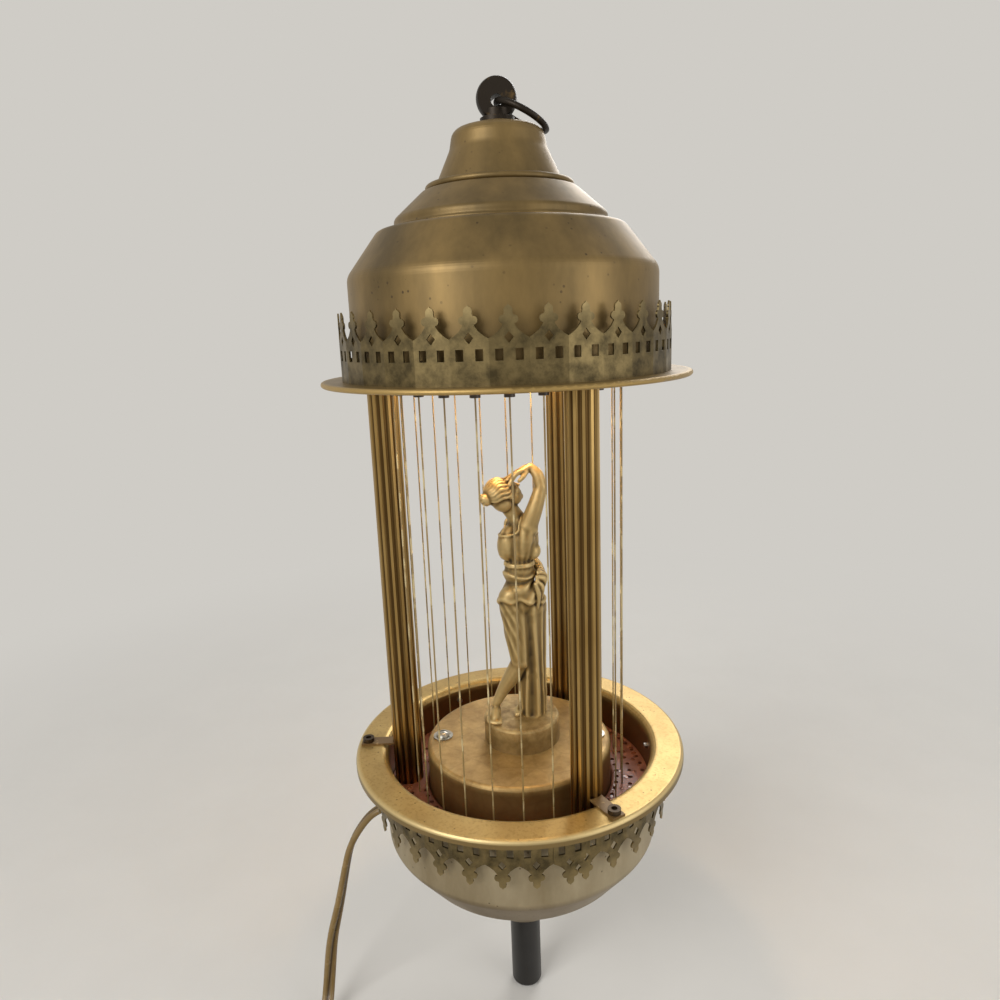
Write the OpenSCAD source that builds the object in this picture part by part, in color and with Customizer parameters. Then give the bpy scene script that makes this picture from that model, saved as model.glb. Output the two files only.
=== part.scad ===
// Hanging rain lamp: oil beads run down nylon lines around a small draped figure

/* [Basin] */
// Outer diameter of the basin flange
flange_d = 178; // [174:1:190]
// Width of the flange from the basin wall to its edge
flange_w = 17.4; // [16:0.1:20]
// Depth of the basin floor below the flange
basin_depth = 30; // [29:0.5:34]
// Drop of the flange's turned-down edge
flange_drop = 4; // [3:0.5:6]
// Depth of the perforated drip plate below the flange
drip_depth = 22; // [20:0.5:22.5]
// Thickness of the spun sheet
sheet_t = 1; // [0.8:0.1:1.2]

/* [Columns] */
// Height from the flange up to the underside of the brim
column_h = 198; // [185:1:230]
// Outer diameter of a fluted column
column_d = 15.4; // [14:0.2:16.4]
// Gap between a column and the basin wall
column_gap = 2.1; // [1.6:0.1:2.6]
// Number of flutes on a column
flute_count = 12; // [8:1:16]
// Diameter of a flute's cutter
flute_d = 3; // [2:0.2:3.2]
// Outer diameter of the threaded tie pipes in the columns
tie_d = 8; // [7:0.2:8.4]
// Bore of the tie pipes
tie_bore = 5; // [4:0.2:5.4]

/* [Canopy and bowl] */
// Outer diameter of the brim plate
brim_d = 180; // [174:1:190]
// Free gap between the nested walls of shell and basin
shell_gap = 0.4; // [0.3:0.1:0.8]
// Height of the shell from its rim to the shoulder's start
wall_h = 46.4; // [42:0.2:50]
// Height of the shell from its rim to the step
shoulder_h = 66.6; // [64:0.2:72]
// Radius of the shell where the shoulder meets the step
shoulder_r = 58.6; // [57:0.2:61]
// Radius of the dome cap at its foot
dome_r = 50.4; // [49:0.2:52]
// Height of the dome cap
dome_h = 17.2; // [15:0.2:20]
// Height of the bell cap
bell_h = 29.6; // [27:0.2:33]
// Depth of the bowl's dish below its step
dish_h = 38.6; // [36:0.2:41]
// Inner radius of the light well in the oil tray
well_r = 41; // [36:0.5:43]
// Height of the oil tray's walls
tray_h = 14; // [10:0.5:18]

/* [Galleries] */
// Number of motifs around a gallery strip
motif_count = 32; // [28:1:36]
// Height of a gallery strip
gallery_h = 30.8; // [28:0.2:33]
// Thickness of the gallery strip
gallery_t = 0.8; // [0.6:0.1:1]
// Gap between the shell and the gallery
gallery_gap = 4.8; // [4.4:0.1:5.2]

/* [Rain] */
// Positions for rain lines around the lamp, some lost to the columns
line_places = 24; // [18:1:24]
// Distance of the rain lines from the basin wall
line_inset = 14.8; // [14.4:0.1:15.8]
// Diameter of a rain line
line_d = 0.8; // [0.6:0.1:1]
// Outer diameter of a drip nozzle
nozzle_d = 4.8; // [4:0.2:5.4]
// How far a nozzle hangs below the brim
nozzle_drop = 5.5; // [4:0.5:8]

/* [Pedestal and figure] */
// Gap between the rain lines and the pedestal
pedestal_gap = 6.5; // [6:0.1:7]
// Height of the pedestal's top above the flange
pedestal_rise = 0.5; // [0:0.5:4]
// Distance of the pedestal screws from the pedestal's edge
post_inset = 8.3; // [7.5:0.1:10]
// Diameter of the figure's plinth
plinth_d = 41; // [38:0.5:48]
// Height of the plinth
plinth_h = 13.5; // [12:0.5:18]
// Sideways offset of the plinth
plinth_x = 2; // [0:0.5:4]
// Height of the figure above its plinth
figure_h = 140; // [125:1:148]

/* [Pump and motor] */
// Teeth on each pump gear
gear_teeth = 14; // [12:1:15]
// Module of the pump gears
gear_m = 1; // [0.9:0.02:1.04]
// Length of the pump gears
gear_h = 9.6; // [8:0.2:11]
// Diameter of the motor shaft
shaft_d = 4; // [3:0.2:4.4]
// Diameter of the motor's rotor
rotor_d = 20; // [17:0.5:21]
// Thickness of the stator stack
stack_h = 14; // [10:0.5:15]

/* [Switch] */
// Diameter of the switch knob
knob_d = 17.2; // [16.4:0.2:24]
// Length of the switch knob
knob_h = 52.2; // [30:0.2:60]
// Diameter of the switch shaft
switch_shaft_d = 6; // [5:0.2:6.6]

/* [Light] */
// Diameter of the bulb's globe
bulb_d = 42; // [38:1:44]
// Outer diameter of the lamp socket
socket_d = 34; // [32:0.5:40]
// Diameter of the bulb's screw base
base_d = 26; // [25:0.5:27]
// Outer diameter of the threaded lamp pipe
pipe_d = 9.6; // [9:0.1:9.8]

/* [Hanging eye] */
// Diameter of the finial ball
ball_d = 19; // [18:0.5:22]
// Thickness of the ball between its flats
ball_flat_w = 8; // [7:0.5:8]
// Diameter of the eye through the ball
eye_d = 5.4; // [5.2:0.1:6]
// Wire diameter of the hanging ring
ring_wire_d = 3; // [2.4:0.1:3]
// Mean diameter of the hanging ring
ring_mean_d = 25.6; // [25:0.2:32]

/* [Cord] */
// Width of the flat two-core cord
cord_w = 6.8; // [6:0.1:6.8]
// Thickness of the flat two-core cord
cord_t = 3.6; // [3:0.1:3.6]
// Mean radius of the coil's outermost turn
coil_r = 46; // [44:0.5:48]
// Free gap between the coil's turns
coil_gap = 0.7; // [0.6:0.1:1]

/* [Hidden] */

$fn = 64;

// Running clearance of a shaft in its bore
run_clear = 0.05;
// Clearance of a screw, pipe or stem in its hole
fit_clear = 0.15;
// Clearance between neighbouring sheet pieces
seat_clear = 0.4;

// Radii and levels; level 0 is the top of the flange
flange_r = flange_d / 2;
basin_d = flange_d - 2 * flange_w;
basin_r = basin_d / 2;
brim_r = brim_d / 2;
floor_z = -basin_depth;
shell_r = basin_r + 2 * sheet_t + shell_gap;
lip_w = gallery_gap - 0.4;
gallery_r = shell_r + gallery_gap;
gallery_out_r = gallery_r + gallery_t;
column_r = column_d / 2;
column_circle_r = basin_r - column_gap - column_r;
column_angles = [180, -60, 60];
riser_angle = column_angles[2];
line_circle_r = basin_r - line_inset;
pedestal_r = line_circle_r - pedestal_gap;
post_circle_r = pedestal_r - post_inset;
pedestal_z = pedestal_rise;
brim_z = column_h;
tray_z = brim_z + 2 * sheet_t;
canopy_rim_z = brim_z + sheet_t + gallery_t;
bowl_rim_z = -sheet_t - gallery_t;
step_z = canopy_rim_z + shoulder_h;
dome_z = step_z + dome_h;
bell_z = dome_z + bell_h;
bowl_bottom_z = bowl_rim_z - shoulder_h - dish_h;

// Hanging eye: its height above the flange is the lamp's origin
ball_rise = 10.3;
eye_drop = 1.5;
ball_z = bell_z + ball_rise;
eye_h = ball_z - eye_drop;
ring_wire_r = ring_wire_d / 2;
ring_mean_r = ring_mean_d / 2;
ring_gap = 0.4;

// Lines that are left when the columns take their places
column_half_angle = 7;
function turn_between(a, b) = abs((a - b + 540) % 360 - 180);
function near_column(a) = min([for (c = column_angles) turn_between(a, c)]) < column_half_angle;
line_angles = [
    for (k = [0:line_places - 1]) let (a = -90 + k * 360 / line_places) if (!near_column(a)) a
];

// Outline tools: [radius, height, fillet] corners become a smooth line, and a line becomes a sheet
arc_steps = 5;
function unit(v) = v / norm(v);
function flat(p) = [p[0], p[1]];
function corner_arc(a, b, c, f) =
    let (u = unit(a - b), v = unit(c - b), half = acos(u * v) / 2)
    let (centre = b + unit(u + v) * f / sin(half))
    let (from = unit(b + u * f / tan(half) - centre), to = unit(b + v * f / tan(half) - centre))
    [for (i = [0:arc_steps]) centre + f * unit(from * (1 - i / arc_steps) + to * i / arc_steps)];
function rounded(p) = [
    for (i = [0:len(p) - 1])
        each p[i][2] == undef
            ? [flat(p[i])]
            : corner_arc(flat(p[i - 1]), flat(p[i]), flat(p[i + 1]), p[i][2])
];
function left_of(a, b) = let (d = unit(b - a)) [-d[1], d[0]];
function shifted(p, t) = [
    for (i = [0:len(p) - 1])
        let (before = i > 0 ? left_of(p[i - 1], p[i]) : left_of(p[0], p[1]))
        let (after = i < len(p) - 1 ? left_of(p[i], p[i + 1]) : before)
        let (middle = unit(before + after))
        p[i] + middle * t / (middle * before)
];
function reversed(p) = [for (i = [len(p) - 1:-1:0]) p[i]];

module spun(corners, t = sheet_t) {
    line = rounded(corners);
    rotate_extrude() polygon(concat(line, reversed(shifted(line, t))));
}

module ring_plate(r_out, r_in, t) {
    rotate_extrude() translate([r_in, 0]) square([r_out - r_in, t]);
}

module hung() {
    translate([0, 0, -eye_h]) children();
}

module at_angles(angles, r, z) {
    for (a = angles)
        rotate([0, 0, a]) translate([r, 0, z]) children();
}

module tube(r_out, r_in, h) {
    difference() {
        cylinder(r = r_out, h = h);
        translate([0, 0, -1]) cylinder(r = r_in, h = h + 2);
    }
}

module hex_nut(across, bore_r, h) {
    difference() {
        rotate([0, 0, 30]) cylinder(d = across / cos(30), h = h, $fn = 6);
        translate([0, 0, -1]) cylinder(r = bore_r, h = h + 2);
    }
}

// Finial, ring and lamp pipe

pipe_r = pipe_d / 2;
pipe_hole_r = pipe_r + fit_clear;
pipe_bore_r = 3;
pipe_top_z = bell_z + 2.6;
nut_across = 16;
nut_h = 5;
washer_r = 16;
washer_t = 1.5;
finial_foot_r = 8;
finial_foot_h = 2;
finial_neck_r = 6;

module hanging_ring() {
    color("#3a3128")
    rotate([0, ring_rest, 0])
    translate([ring_mean_r, 0, 0])
    rotate_extrude()
    translate([ring_mean_r, 0]) circle(r = ring_wire_r);
}

module finial_loop() {
    color("#3a3128") hung() difference() {
        union() {
            translate([0, 0, bell_z]) cylinder(r = finial_foot_r, h = finial_foot_h);
            translate([0, 0, bell_z]) cylinder(r = finial_neck_r, h = ball_rise - ball_d / 4);
            intersection() {
                translate([0, 0, ball_z]) sphere(d = ball_d);
                translate([-ball_d, -ball_flat_w / 2, ball_z - ball_d])
                    cube([2 * ball_d, ball_flat_w, 2 * ball_d]);
            }
        }
        translate([0, 0, eye_h]) rotate([90, 0, 0]) cylinder(d = eye_d, h = 2 * ball_d, center = true);
        translate([0, 0, bell_z - 1]) cylinder(r = pipe_hole_r, h = pipe_top_z + fit_clear - bell_z + 1);
    }
}

module lamp_pipe() {
    color("#b59a55") hung() translate([0, 0, socket_top_z - socket_cap_h])
        tube(pipe_r, pipe_bore_r, pipe_top_z - socket_top_z + socket_cap_h);
}

module pipe_nuts() {
    color("#b59a55") hung() {
        translate([0, 0, dome_z - sheet_t - washer_t]) tube(washer_r, pipe_hole_r, washer_t);
        translate([0, 0, dome_z - sheet_t - washer_t - nut_h]) hex_nut(nut_across, pipe_hole_r, nut_h);
        translate([0, 0, socket_top_z]) hex_nut(nut_across, pipe_hole_r, nut_h);
    }
}

// Canopy: three stacked pressings

bend_r = 1.6;
rim_bend_r = 4;
shoulder_bend_r = 8;
step_bend_r = 4;
step_hole_r = dome_r - 6;
cap_rim_w = 3;
dome_foot_h = 4;
dome_top_r = 36.5;
dome_bend_r = 3;
bell_rim_r = dome_top_r - 3;
bell_bead_r = 1.5;
bell_foot_r = bell_rim_r - 2.7;
bell_waist_r = 22.8;
bell_waist_h = bell_h - 11.6;
bell_top_r = 21.2;
bell_top_drop = 3.4;
bell_cap_r = 8.5;
bell_corners = [
    [bell_rim_r, sheet_t],
    [bell_foot_r, sheet_t, 2],
    [bell_waist_r, bell_waist_h, 10],
    [bell_top_r, bell_h - bell_top_drop, 5],
    [bell_cap_r, bell_h, 2],
    [pipe_hole_r, bell_h]
];
shell_corners = [
    [shell_r + lip_w, sheet_t],
    [shell_r, sheet_t, bend_r],
    [shell_r, wall_h, shoulder_bend_r],
    [shoulder_r, shoulder_h, step_bend_r]
];

// The ring's rest: the far side of its wire lies on the bell
bell_samples = 8;
bell_line = rounded(bell_corners);
bell_skin = [
    for (i = [0:len(bell_line) - 2], k = [0:bell_samples - 1])
        let (p = bell_line[i] + (bell_line[i + 1] - bell_line[i]) * k / bell_samples)
        [p[0], p[1] + dome_z - eye_h]
];
function rest_on(p, reach, near) =
    let (far = norm(p), share = (reach * reach + far * far - near * near) / (2 * reach * far))
    share > 1 ? 90 : atan2(-p[1], p[0]) - acos(share);
ring_rest = min([for (p = bell_skin) rest_on(p, 2 * ring_mean_r, ring_wire_r + ring_gap)]);

module bell_cap() {
    color("#a8843f") hung() translate([0, 0, dome_z]) union() {
        spun(bell_corners);
        rotate_extrude() translate([bell_rim_r, bell_bead_r]) circle(r = bell_bead_r);
    }
}

module dome_cap() {
    color("#a8843f") hung() translate([0, 0, step_z]) spun([
        [dome_r + cap_rim_w, sheet_t],
        [dome_r, sheet_t, bend_r],
        [dome_r, dome_foot_h + sheet_t, dome_bend_r],
        [dome_top_r, dome_h, dome_bend_r],
        [pipe_hole_r, dome_h]
    ]);
}

module canopy_shell() {
    color("#a8843f") hung() difference() {
        translate([0, 0, canopy_rim_z]) spun(concat(shell_corners, [[step_hole_r, shoulder_h]]));
        shell_screw_holes(tray_z + shell_screw_h);
    }
}

// Radial screws that hold the shells to tray and basin, behind the galleries
shell_screw_h = 7;
shell_screw_angles = [0, 120, 240];
shell_screw_r = 1.4;
shell_screw_head_r = 2.6;
shell_screw_head_h = 1.6;

module shell_screw_holes(z) {
    at_angles(shell_screw_angles, 0, z) rotate([0, 90, 0])
        translate([0, 0, basin_r - 5]) cylinder(r = shell_screw_r + fit_clear, h = 12);
}

module shell_screw_set(z) {
    at_angles(shell_screw_angles, 0, z) rotate([0, 90, 0]) difference() {
        union() {
            translate([0, 0, basin_r - 2]) cylinder(r = shell_screw_r, h = shell_r - basin_r + 3);
            translate([0, 0, shell_r - 0.5]) cylinder(r = shell_screw_head_r, h = shell_screw_head_h + 0.5);
        }
        rotate([0, -90, 0]) translate([0, 0, -10]) difference() {
            cylinder(r = shell_r, h = 20);
            translate([0, 0, -1]) cylinder(r = basin_r - 3, h = 22);
            rotate([0, 90, 0]) translate([-10, 0, 0]) cylinder(r = shell_screw_r, h = 2 * shell_r);
        }
    }
}

module shell_screws() {
    color("#8a744a") hung() {
        shell_screw_set(tray_z + shell_screw_h);
        shell_screw_set(-shell_screw_h - 2 * sheet_t);
    }
}

// Pierced gallery strips

motif_step = 360 / (motif_count - 0.5);
motif_w = 2 * gallery_out_r * tan(motif_step / 2) + 0.02;
motif_half = motif_w / 2;
window_w = motif_w * 0.2;
window_low = gallery_h * 0.32;
window_high = gallery_h * 0.47;
diamond_z = gallery_h * 0.61;
diamond_w = motif_w * 0.12;
diamond_h = gallery_h * 0.075;
arch_z = gallery_h * 0.6;
arch_h = gallery_h * 0.16;
neck_w = motif_w * 0.15;
arch_w = motif_half - neck_w;
lobe_x = motif_w * 0.14;
lobe_z = gallery_h * 0.83;
lobe_r = motif_w * 0.1;
tip_r = motif_w * 0.11;
tip_point = 0.6;
gallery_foot_r = basin_r + rim_bend_r + 0.2;
gallery_lap = gallery_t * 0.6;
crown_seam = 160;
bowl_seam = 14.6;

// One motif: two windows, a diamond, half a pointed arch on each side and a pendant with three lobes
module motif() {
    half = [
        [motif_half, 0],
        [motif_half, arch_z],
        [motif_half - arch_w * 0.36, arch_z + arch_h * 0.24],
        [motif_half - arch_w * 0.74, arch_z + arch_h * 0.6],
        [neck_w, arch_z + arch_h],
        [neck_w, lobe_z],
        [tip_r * 0.7, gallery_h - tip_r * 0.6],
        [0, gallery_h + tip_point]
    ];
    difference() {
        union() {
            polygon(concat(half, [for (p = reversed(half)) if (p[0] > 0) [-p[0], p[1]]]));
            for (side = [-1, 1])
                translate([side * lobe_x, lobe_z]) circle(r = lobe_r);
            translate([0, gallery_h - tip_r]) circle(r = tip_r);
        }
        for (side = [-1, 1])
            translate([side * motif_half / 2 - window_w / 2, window_low])
                square([window_w, window_high - window_low]);
        polygon([
            [diamond_w, diamond_z], [0, diamond_z + diamond_h], [-diamond_w, diamond_z], [0, diamond_z - diamond_h]
        ]);
    }
}

// A bent strip on a flat foot, whose last motif laps half of the first
module gallery(seam) {
    ring_plate(gallery_r + gallery_t / 2, gallery_foot_r, gallery_t);
    for (k = [0:motif_count - 1])
        rotate([0, 0, seam + (k + 0.5) * motif_step])
            translate([0, -gallery_r - (k == motif_count - 1 ? gallery_lap : 0), 0]) rotate([90, 0, 0])
                linear_extrude(gallery_t) motif();
}

module crown_gallery() {
    color("#7d6532") hung() translate([0, 0, brim_z + sheet_t]) gallery(crown_seam);
}

module bowl_gallery() {
    color("#7d6532") hung() translate([0, 0, -sheet_t]) mirror([0, 0, 1]) gallery(bowl_seam);
}

// Brim plate and oil tray

brim_bead_r = 1.2;
tie_r = tie_d / 2;
nozzle_stem_r = 1.5;
nozzle_r = nozzle_d / 2;

module column_holes(z, h) {
    at_angles(column_angles, column_circle_r, z) cylinder(r = tie_r + fit_clear, h = h);
}

module nozzle_holes(z, h) {
    at_angles(line_angles, line_circle_r, z) cylinder(r = nozzle_stem_r + fit_clear, h = h, $fn = 24);
}

module brim_plate() {
    color("#a8843f") hung() difference() {
        translate([0, 0, brim_z]) union() {
            ring_plate(brim_r - brim_bead_r, well_r - sheet_t, sheet_t);
            rotate_extrude() translate([brim_r - brim_bead_r, sheet_t - brim_bead_r]) circle(r = brim_bead_r);
        }
        column_holes(brim_z - 1, 4);
        nozzle_holes(brim_z - 1, 4);
    }
}

module oil_tray() {
    color("#8f7440") hung() difference() {
        translate([0, 0, tray_z]) spun([
            [basin_r, tray_h], [basin_r, 0, bend_r], [well_r, 0, bend_r], [well_r, tray_h]
        ]);
        column_holes(tray_z - 2, 4);
        nozzle_holes(tray_z - 2, 4);
        shell_screw_holes(tray_z + shell_screw_h);
    }
}

module drip_nozzles() {
    color("#3c3226") hung() at_angles(line_angles, line_circle_r, 0) difference() {
        union() {
            translate([0, 0, brim_z - nozzle_drop]) cylinder(r = nozzle_r, h = nozzle_drop, $fn = 24);
            translate([0, 0, brim_z - 1]) cylinder(r = nozzle_stem_r, h = nozzle_top_z - brim_z + 1, $fn = 24);
        }
        translate([0, 0, brim_z - nozzle_drop - 1])
            cylinder(r = line_hole_r, h = nozzle_top_z - brim_z + nozzle_drop + 2, $fn = 24);
    }
}

nozzle_top_z = tray_z + 1.5;
line_radius = line_d / 2;
line_hole_r = line_radius + fit_clear;
line_bead_r = 1.1;
line_bead_h = 1.8;

module rain_lines() {
    plate_under_z = -drip_depth - sheet_t;
    color("#e8dfc4") hung() at_angles(line_angles, line_circle_r, 0) {
        translate([0, 0, plate_under_z - line_bead_h])
            cylinder(r = line_radius, h = nozzle_top_z + 2 * line_bead_h - plate_under_z, $fn = 16);
        translate([0, 0, plate_under_z - line_bead_h]) cylinder(r = line_bead_r, h = line_bead_h, $fn = 16);
        translate([0, 0, nozzle_top_z]) cylinder(r = line_bead_r, h = line_bead_h, $fn = 16);
    }
}

// Socket and bulb

socket_top_z = step_z - 1;
socket_cap_h = 6;
socket_h = 26;
base_r = base_d / 2;
base_clear = 0.4;
base_h = 20;
bulb_neck_r = base_r - 1;
bulb_neck_h = 5;
base_top_z = socket_top_z - socket_cap_h - 1;

module lamp_socket() {
    color("#2b2622") hung() difference() {
        translate([0, 0, socket_top_z - socket_h]) cylinder(d = socket_d, h = socket_h);
        translate([0, 0, socket_top_z - socket_h - 1]) cylinder(r = base_r + base_clear, h = socket_h - socket_cap_h + 1);
        translate([0, 0, socket_top_z - socket_h]) cylinder(r = pipe_hole_r, h = socket_h + 1);
    }
}

module bulb_base() {
    color("#c8b070") hung() translate([0, 0, base_top_z - base_h]) union() {
        cylinder(r = base_r, h = base_h - 3);
        cylinder(r = base_r * 0.45, h = base_h);
    }
}

module bulb_glass() {
    color("#f4ead0") hung() rotate_extrude() polygon(concat(
        [[0, base_top_z - base_h], [bulb_neck_r, base_top_z - base_h]],
        [
            for (a = [40:-10:-90])
                [bulb_d / 2 * cos(a), base_top_z - base_h - bulb_neck_h - bulb_d / 2 * sin(40) + bulb_d / 2 * sin(a)]
        ]
    ));
}

// Columns with their tie pipes, nuts, straps and flange screws

tie_nut_across = 13;
tie_nut_h = 4;
tie_end = tie_nut_h + 1;
riser_extra = 5;
port_r = 2;

module column(a) {
    color("#c79a4b") hung() rotate([0, 0, a]) translate([column_circle_r, 0, floor_z]) difference() {
        cylinder(r = column_r, h = column_h + basin_depth);
        for (k = [0:flute_count - 1])
            rotate([0, 0, (k + 0.5) * 360 / flute_count]) translate([column_r + flute_d / 5, 0, -1])
                cylinder(d = flute_d, h = column_h + basin_depth + 2, $fn = 24);
        translate([0, 0, -1]) cylinder(r = tie_r + fit_clear, h = column_h + basin_depth + 2);
        if (a == riser_angle)
            translate([0, 0, hose_z - floor_z]) rotate([0, -90, 0]) cylinder(r = hose_r + fit_clear, h = column_d);
    }
}

module tie_pipe(a, extra) {
    color("#b59a55") hung() rotate([0, 0, a])
        translate([column_circle_r, 0, floor_z - sheet_t - tie_end]) difference() {
            tube(tie_r, tie_bore / 2, tray_z - floor_z + sheet_t + 2 * tie_end + extra);
            if (a == riser_angle)
                translate([0, 0, hose_z - floor_z + sheet_t + tie_end]) rotate([0, -90, 0]) cylinder(r = port_r, h = tie_d);
        }
}

module column_left() { column(column_angles[0]); }
module column_right() { column(column_angles[1]); }
module column_back() { column(column_angles[2]); }
module oil_riser() { tie_pipe(column_angles[2], riser_extra); }

module tie_pipes() {
    tie_pipe(column_angles[0], 0);
    tie_pipe(column_angles[1], 0);
}

module tie_nuts() {
    color("#b59a55") hung() {
        at_angles(column_angles, column_circle_r, tray_z) hex_nut(tie_nut_across, tie_r + fit_clear, tie_nut_h);
        at_angles(column_angles, column_circle_r, floor_z - sheet_t - tie_nut_h)
            hex_nut(tie_nut_across, tie_r + fit_clear, tie_nut_h);
    }
}

strap_w = 7;
strap_t = 0.9;
flange_nut_across = 5;
flange_nut_h = 2;
flange_screw_r = 1.4;
flange_head_r = 3.1;
flange_head_h = 2.2;
flange_socket_r = 1.5;
flange_screw_circle_r = gallery_out_r + 0.9 + flange_nut_across / 2;

module column_straps() {
    inner_r = column_circle_r + column_r - 1.5;
    outer_r = flange_screw_circle_r + strap_w / 2;
    color("#6f4a36") hung() at_angles(column_angles, 0, 0) difference() {
        translate([inner_r, -strap_w / 2, 0]) cube([outer_r - inner_r, strap_w, strap_t]);
        translate([column_circle_r, 0, -1]) cylinder(r = column_r + fit_clear, h = 3);
        translate([flange_screw_circle_r, 0, -1]) cylinder(r = flange_screw_r + fit_clear, h = 3);
    }
}

module flange_screws() {
    color("#1d1a17") hung() at_angles(column_angles, flange_screw_circle_r, -sheet_t - flange_nut_h)
        rotate([0, 0, 30]) hex_nut(flange_nut_across, flange_screw_r + fit_clear, flange_nut_h);
    color("#1d1a17") hung() at_angles(column_angles, flange_screw_circle_r, 0) difference() {
        union() {
            translate([0, 0, strap_t]) cylinder(r = flange_head_r, h = flange_head_h);
            translate([0, 0, -sheet_t - flange_nut_h - 0.5])
                cylinder(r = flange_screw_r, h = sheet_t + flange_nut_h + strap_t + 1);
        }
        translate([0, 0, strap_t + flange_head_h / 2]) cylinder(r = flange_socket_r, h = flange_head_h);
    }
}

// Basin, drip plate and pedestal

flange_bend_r = 2.2;
floor_bend_r = 2;
post_angles = [177, -3];
post_r = 4;
post_spigot_r = 2.5;
post_spigot_h = 1.5;
post_screw_r = 1.9;
seal_r = 5;

module works() {
    rotate([0, 0, riser_angle - 90]) children();
}

module basin() {
    color("#b08d4c") hung() difference() {
        spun([
            [flange_r, -flange_drop],
            [flange_r, 0, flange_bend_r],
            [basin_r, 0, rim_bend_r],
            [basin_r, floor_z, floor_bend_r],
            [0, floor_z]
        ]);
        column_holes(floor_z - 2, 4);
        at_angles(column_angles, flange_screw_circle_r, -2) cylinder(r = flange_screw_r + fit_clear, h = 4);
        at_angles(post_angles, post_circle_r, floor_z - 2) cylinder(r = post_spigot_r + fit_clear, h = 4);
        works() translate([drive_x, 0, floor_z - 2]) cylinder(r = seal_r + fit_clear, h = 4);
        works() rod_places() translate([0, 0, floor_z - 2]) cylinder(r = rod_r + fit_clear, h = 4);
        shell_screw_holes(-shell_screw_h - 2 * sheet_t);
    }
}

drain_hole_r = 1.2;
drain_places = 60;
drain_rows = [line_circle_r - 3.2, line_circle_r + 4.2, line_circle_r + 11.4];
plate_r = basin_r - seat_clear;
skirt_r = pedestal_r + seat_clear;

module drip_plate() {
    drain_angles = [
        for (k = [0:drain_places - 1])
            let (a = (k + 0.5) * 360 / drain_places)
            if (min([for (c = column_angles) turn_between(a, c)]) > 12) a
    ];
    color("#7a4630") hung() difference() {
        translate([0, 0, -drip_depth]) spun([
            [plate_r, 0], [skirt_r, 0, bend_r], [skirt_r, drip_depth - basin_depth]
        ]);
        at_angles(column_angles, column_circle_r, -drip_depth - 2) cylinder(r = column_r + fit_clear, h = 4);
        at_angles(line_angles, line_circle_r, -drip_depth - 2) cylinder(r = line_hole_r, h = 4, $fn = 24);
        for (r = drain_rows)
            at_angles(drain_angles, r, -drip_depth - 2) cylinder(r = drain_hole_r, h = 4, $fn = 24);
        hose_hole();
    }
}

module hose_hole() {
    works() translate([0, 0, hose_z]) rotate([-90, 0, 0])
        translate([0, 0, pedestal_r - 5]) cylinder(r = hose_r + fit_clear, h = 12);
}

notch_count = 6;
notch_w = 12;
notch_h = 4;
pedestal_bend_r = 2.5;
plinth_screw_r = 1.9;

module pedestal_cover() {
    color("#b7954f") hung() difference() {
        spun([[pedestal_r, floor_z], [pedestal_r, pedestal_z, pedestal_bend_r], [0, pedestal_z]]);
        at_angles(post_angles, post_circle_r, pedestal_z - 3) cylinder(r = post_screw_r + fit_clear, h = 6);
        translate([plinth_x, 0, pedestal_z - 3]) cylinder(r = plinth_screw_r + fit_clear, h = 6);
        for (k = [0:notch_count - 1])
            rotate([0, 0, riser_angle + (k + 0.5) * 360 / notch_count])
                translate([pedestal_r - 4, -notch_w / 2, floor_z - 1]) cube([8, notch_w, notch_h + 1]);
        hose_hole();
    }
}

module pedestal_posts() {
    color("#9a9a96") hung() at_angles(post_angles, post_circle_r, 0) difference() {
        union() {
            translate([0, 0, floor_z]) cylinder(r = post_r, h = pedestal_z - sheet_t - floor_z);
            translate([0, 0, floor_z - post_spigot_h]) cylinder(r = post_spigot_r, h = post_spigot_h + 1);
        }
        translate([0, 0, pedestal_z - post_screw_l - 2]) cylinder(r = post_screw_r + fit_clear, h = post_screw_l + 4);
    }
}

post_screw_l = 12;
post_washer_r = 5.4;
post_washer_t = 0.8;
post_head_r = 3.9;
post_head_h = 2.6;
post_dome_h = 2;
post_dome_r = (post_head_r * post_head_r + post_dome_h * post_dome_h) / (2 * post_dome_h);
post_slot_w = 1;
post_slot_h = 0.9;

module pedestal_screws() {
    top_h = post_washer_t + post_head_h;
    color("#cfcfca") hung() at_angles(post_angles, post_circle_r, pedestal_z) difference() {
        union() {
            cylinder(r = post_washer_r, h = post_washer_t);
            intersection() {
                cylinder(r = post_head_r, h = top_h);
                translate([0, 0, top_h - post_dome_r]) sphere(r = post_dome_r);
            }
            translate([0, 0, -post_screw_l]) cylinder(r = post_screw_r, h = post_screw_l + 1);
        }
        translate([-post_head_r, -post_slot_w / 2, top_h - post_slot_h])
            cube([2 * post_head_r, post_slot_w, 2 * post_slot_h]);
    }
}

plinth_bend_r = 1.6;
plinth_z = pedestal_z + plinth_h;
plinth_screw_l = 9;

module plinth() {
    color("#a08748") hung() translate([plinth_x, 0, pedestal_z]) difference() {
        rotate_extrude() polygon(rounded([
            [0, 0], [plinth_d / 2, 0], [plinth_d / 2, plinth_h, plinth_bend_r], [0, plinth_h]
        ]));
        translate([0, 0, -1]) cylinder(r = plinth_screw_r + fit_clear, h = plinth_screw_l + 1.5);
    }
}

module plinth_screw() {
    color("#9a9a96") hung() translate([plinth_x, 0, pedestal_z - sheet_t]) union() {
        translate([0, 0, -2]) cylinder(r = 3.6, h = 2);
        translate([0, 0, -1]) cylinder(r = plinth_screw_r, h = plinth_screw_l + sheet_t + 0.5);
    }
}

// Draped figure, drawn 140 tall and set to its height: one leg forward, one arm raised to the head

figure_drawn_h = 140;
figure_room = 40;

module limb(a, ra, b, rb) {
    hull() {
        translate(a) sphere(r = ra, $fn = 14);
        translate(b) sphere(r = rb, $fn = 14);
    }
}

module blob(at, size, turn = [0, 0, 0]) {
    translate(at) rotate(turn) resize(2 * size) sphere(r = 1, $fn = 18);
}

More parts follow.
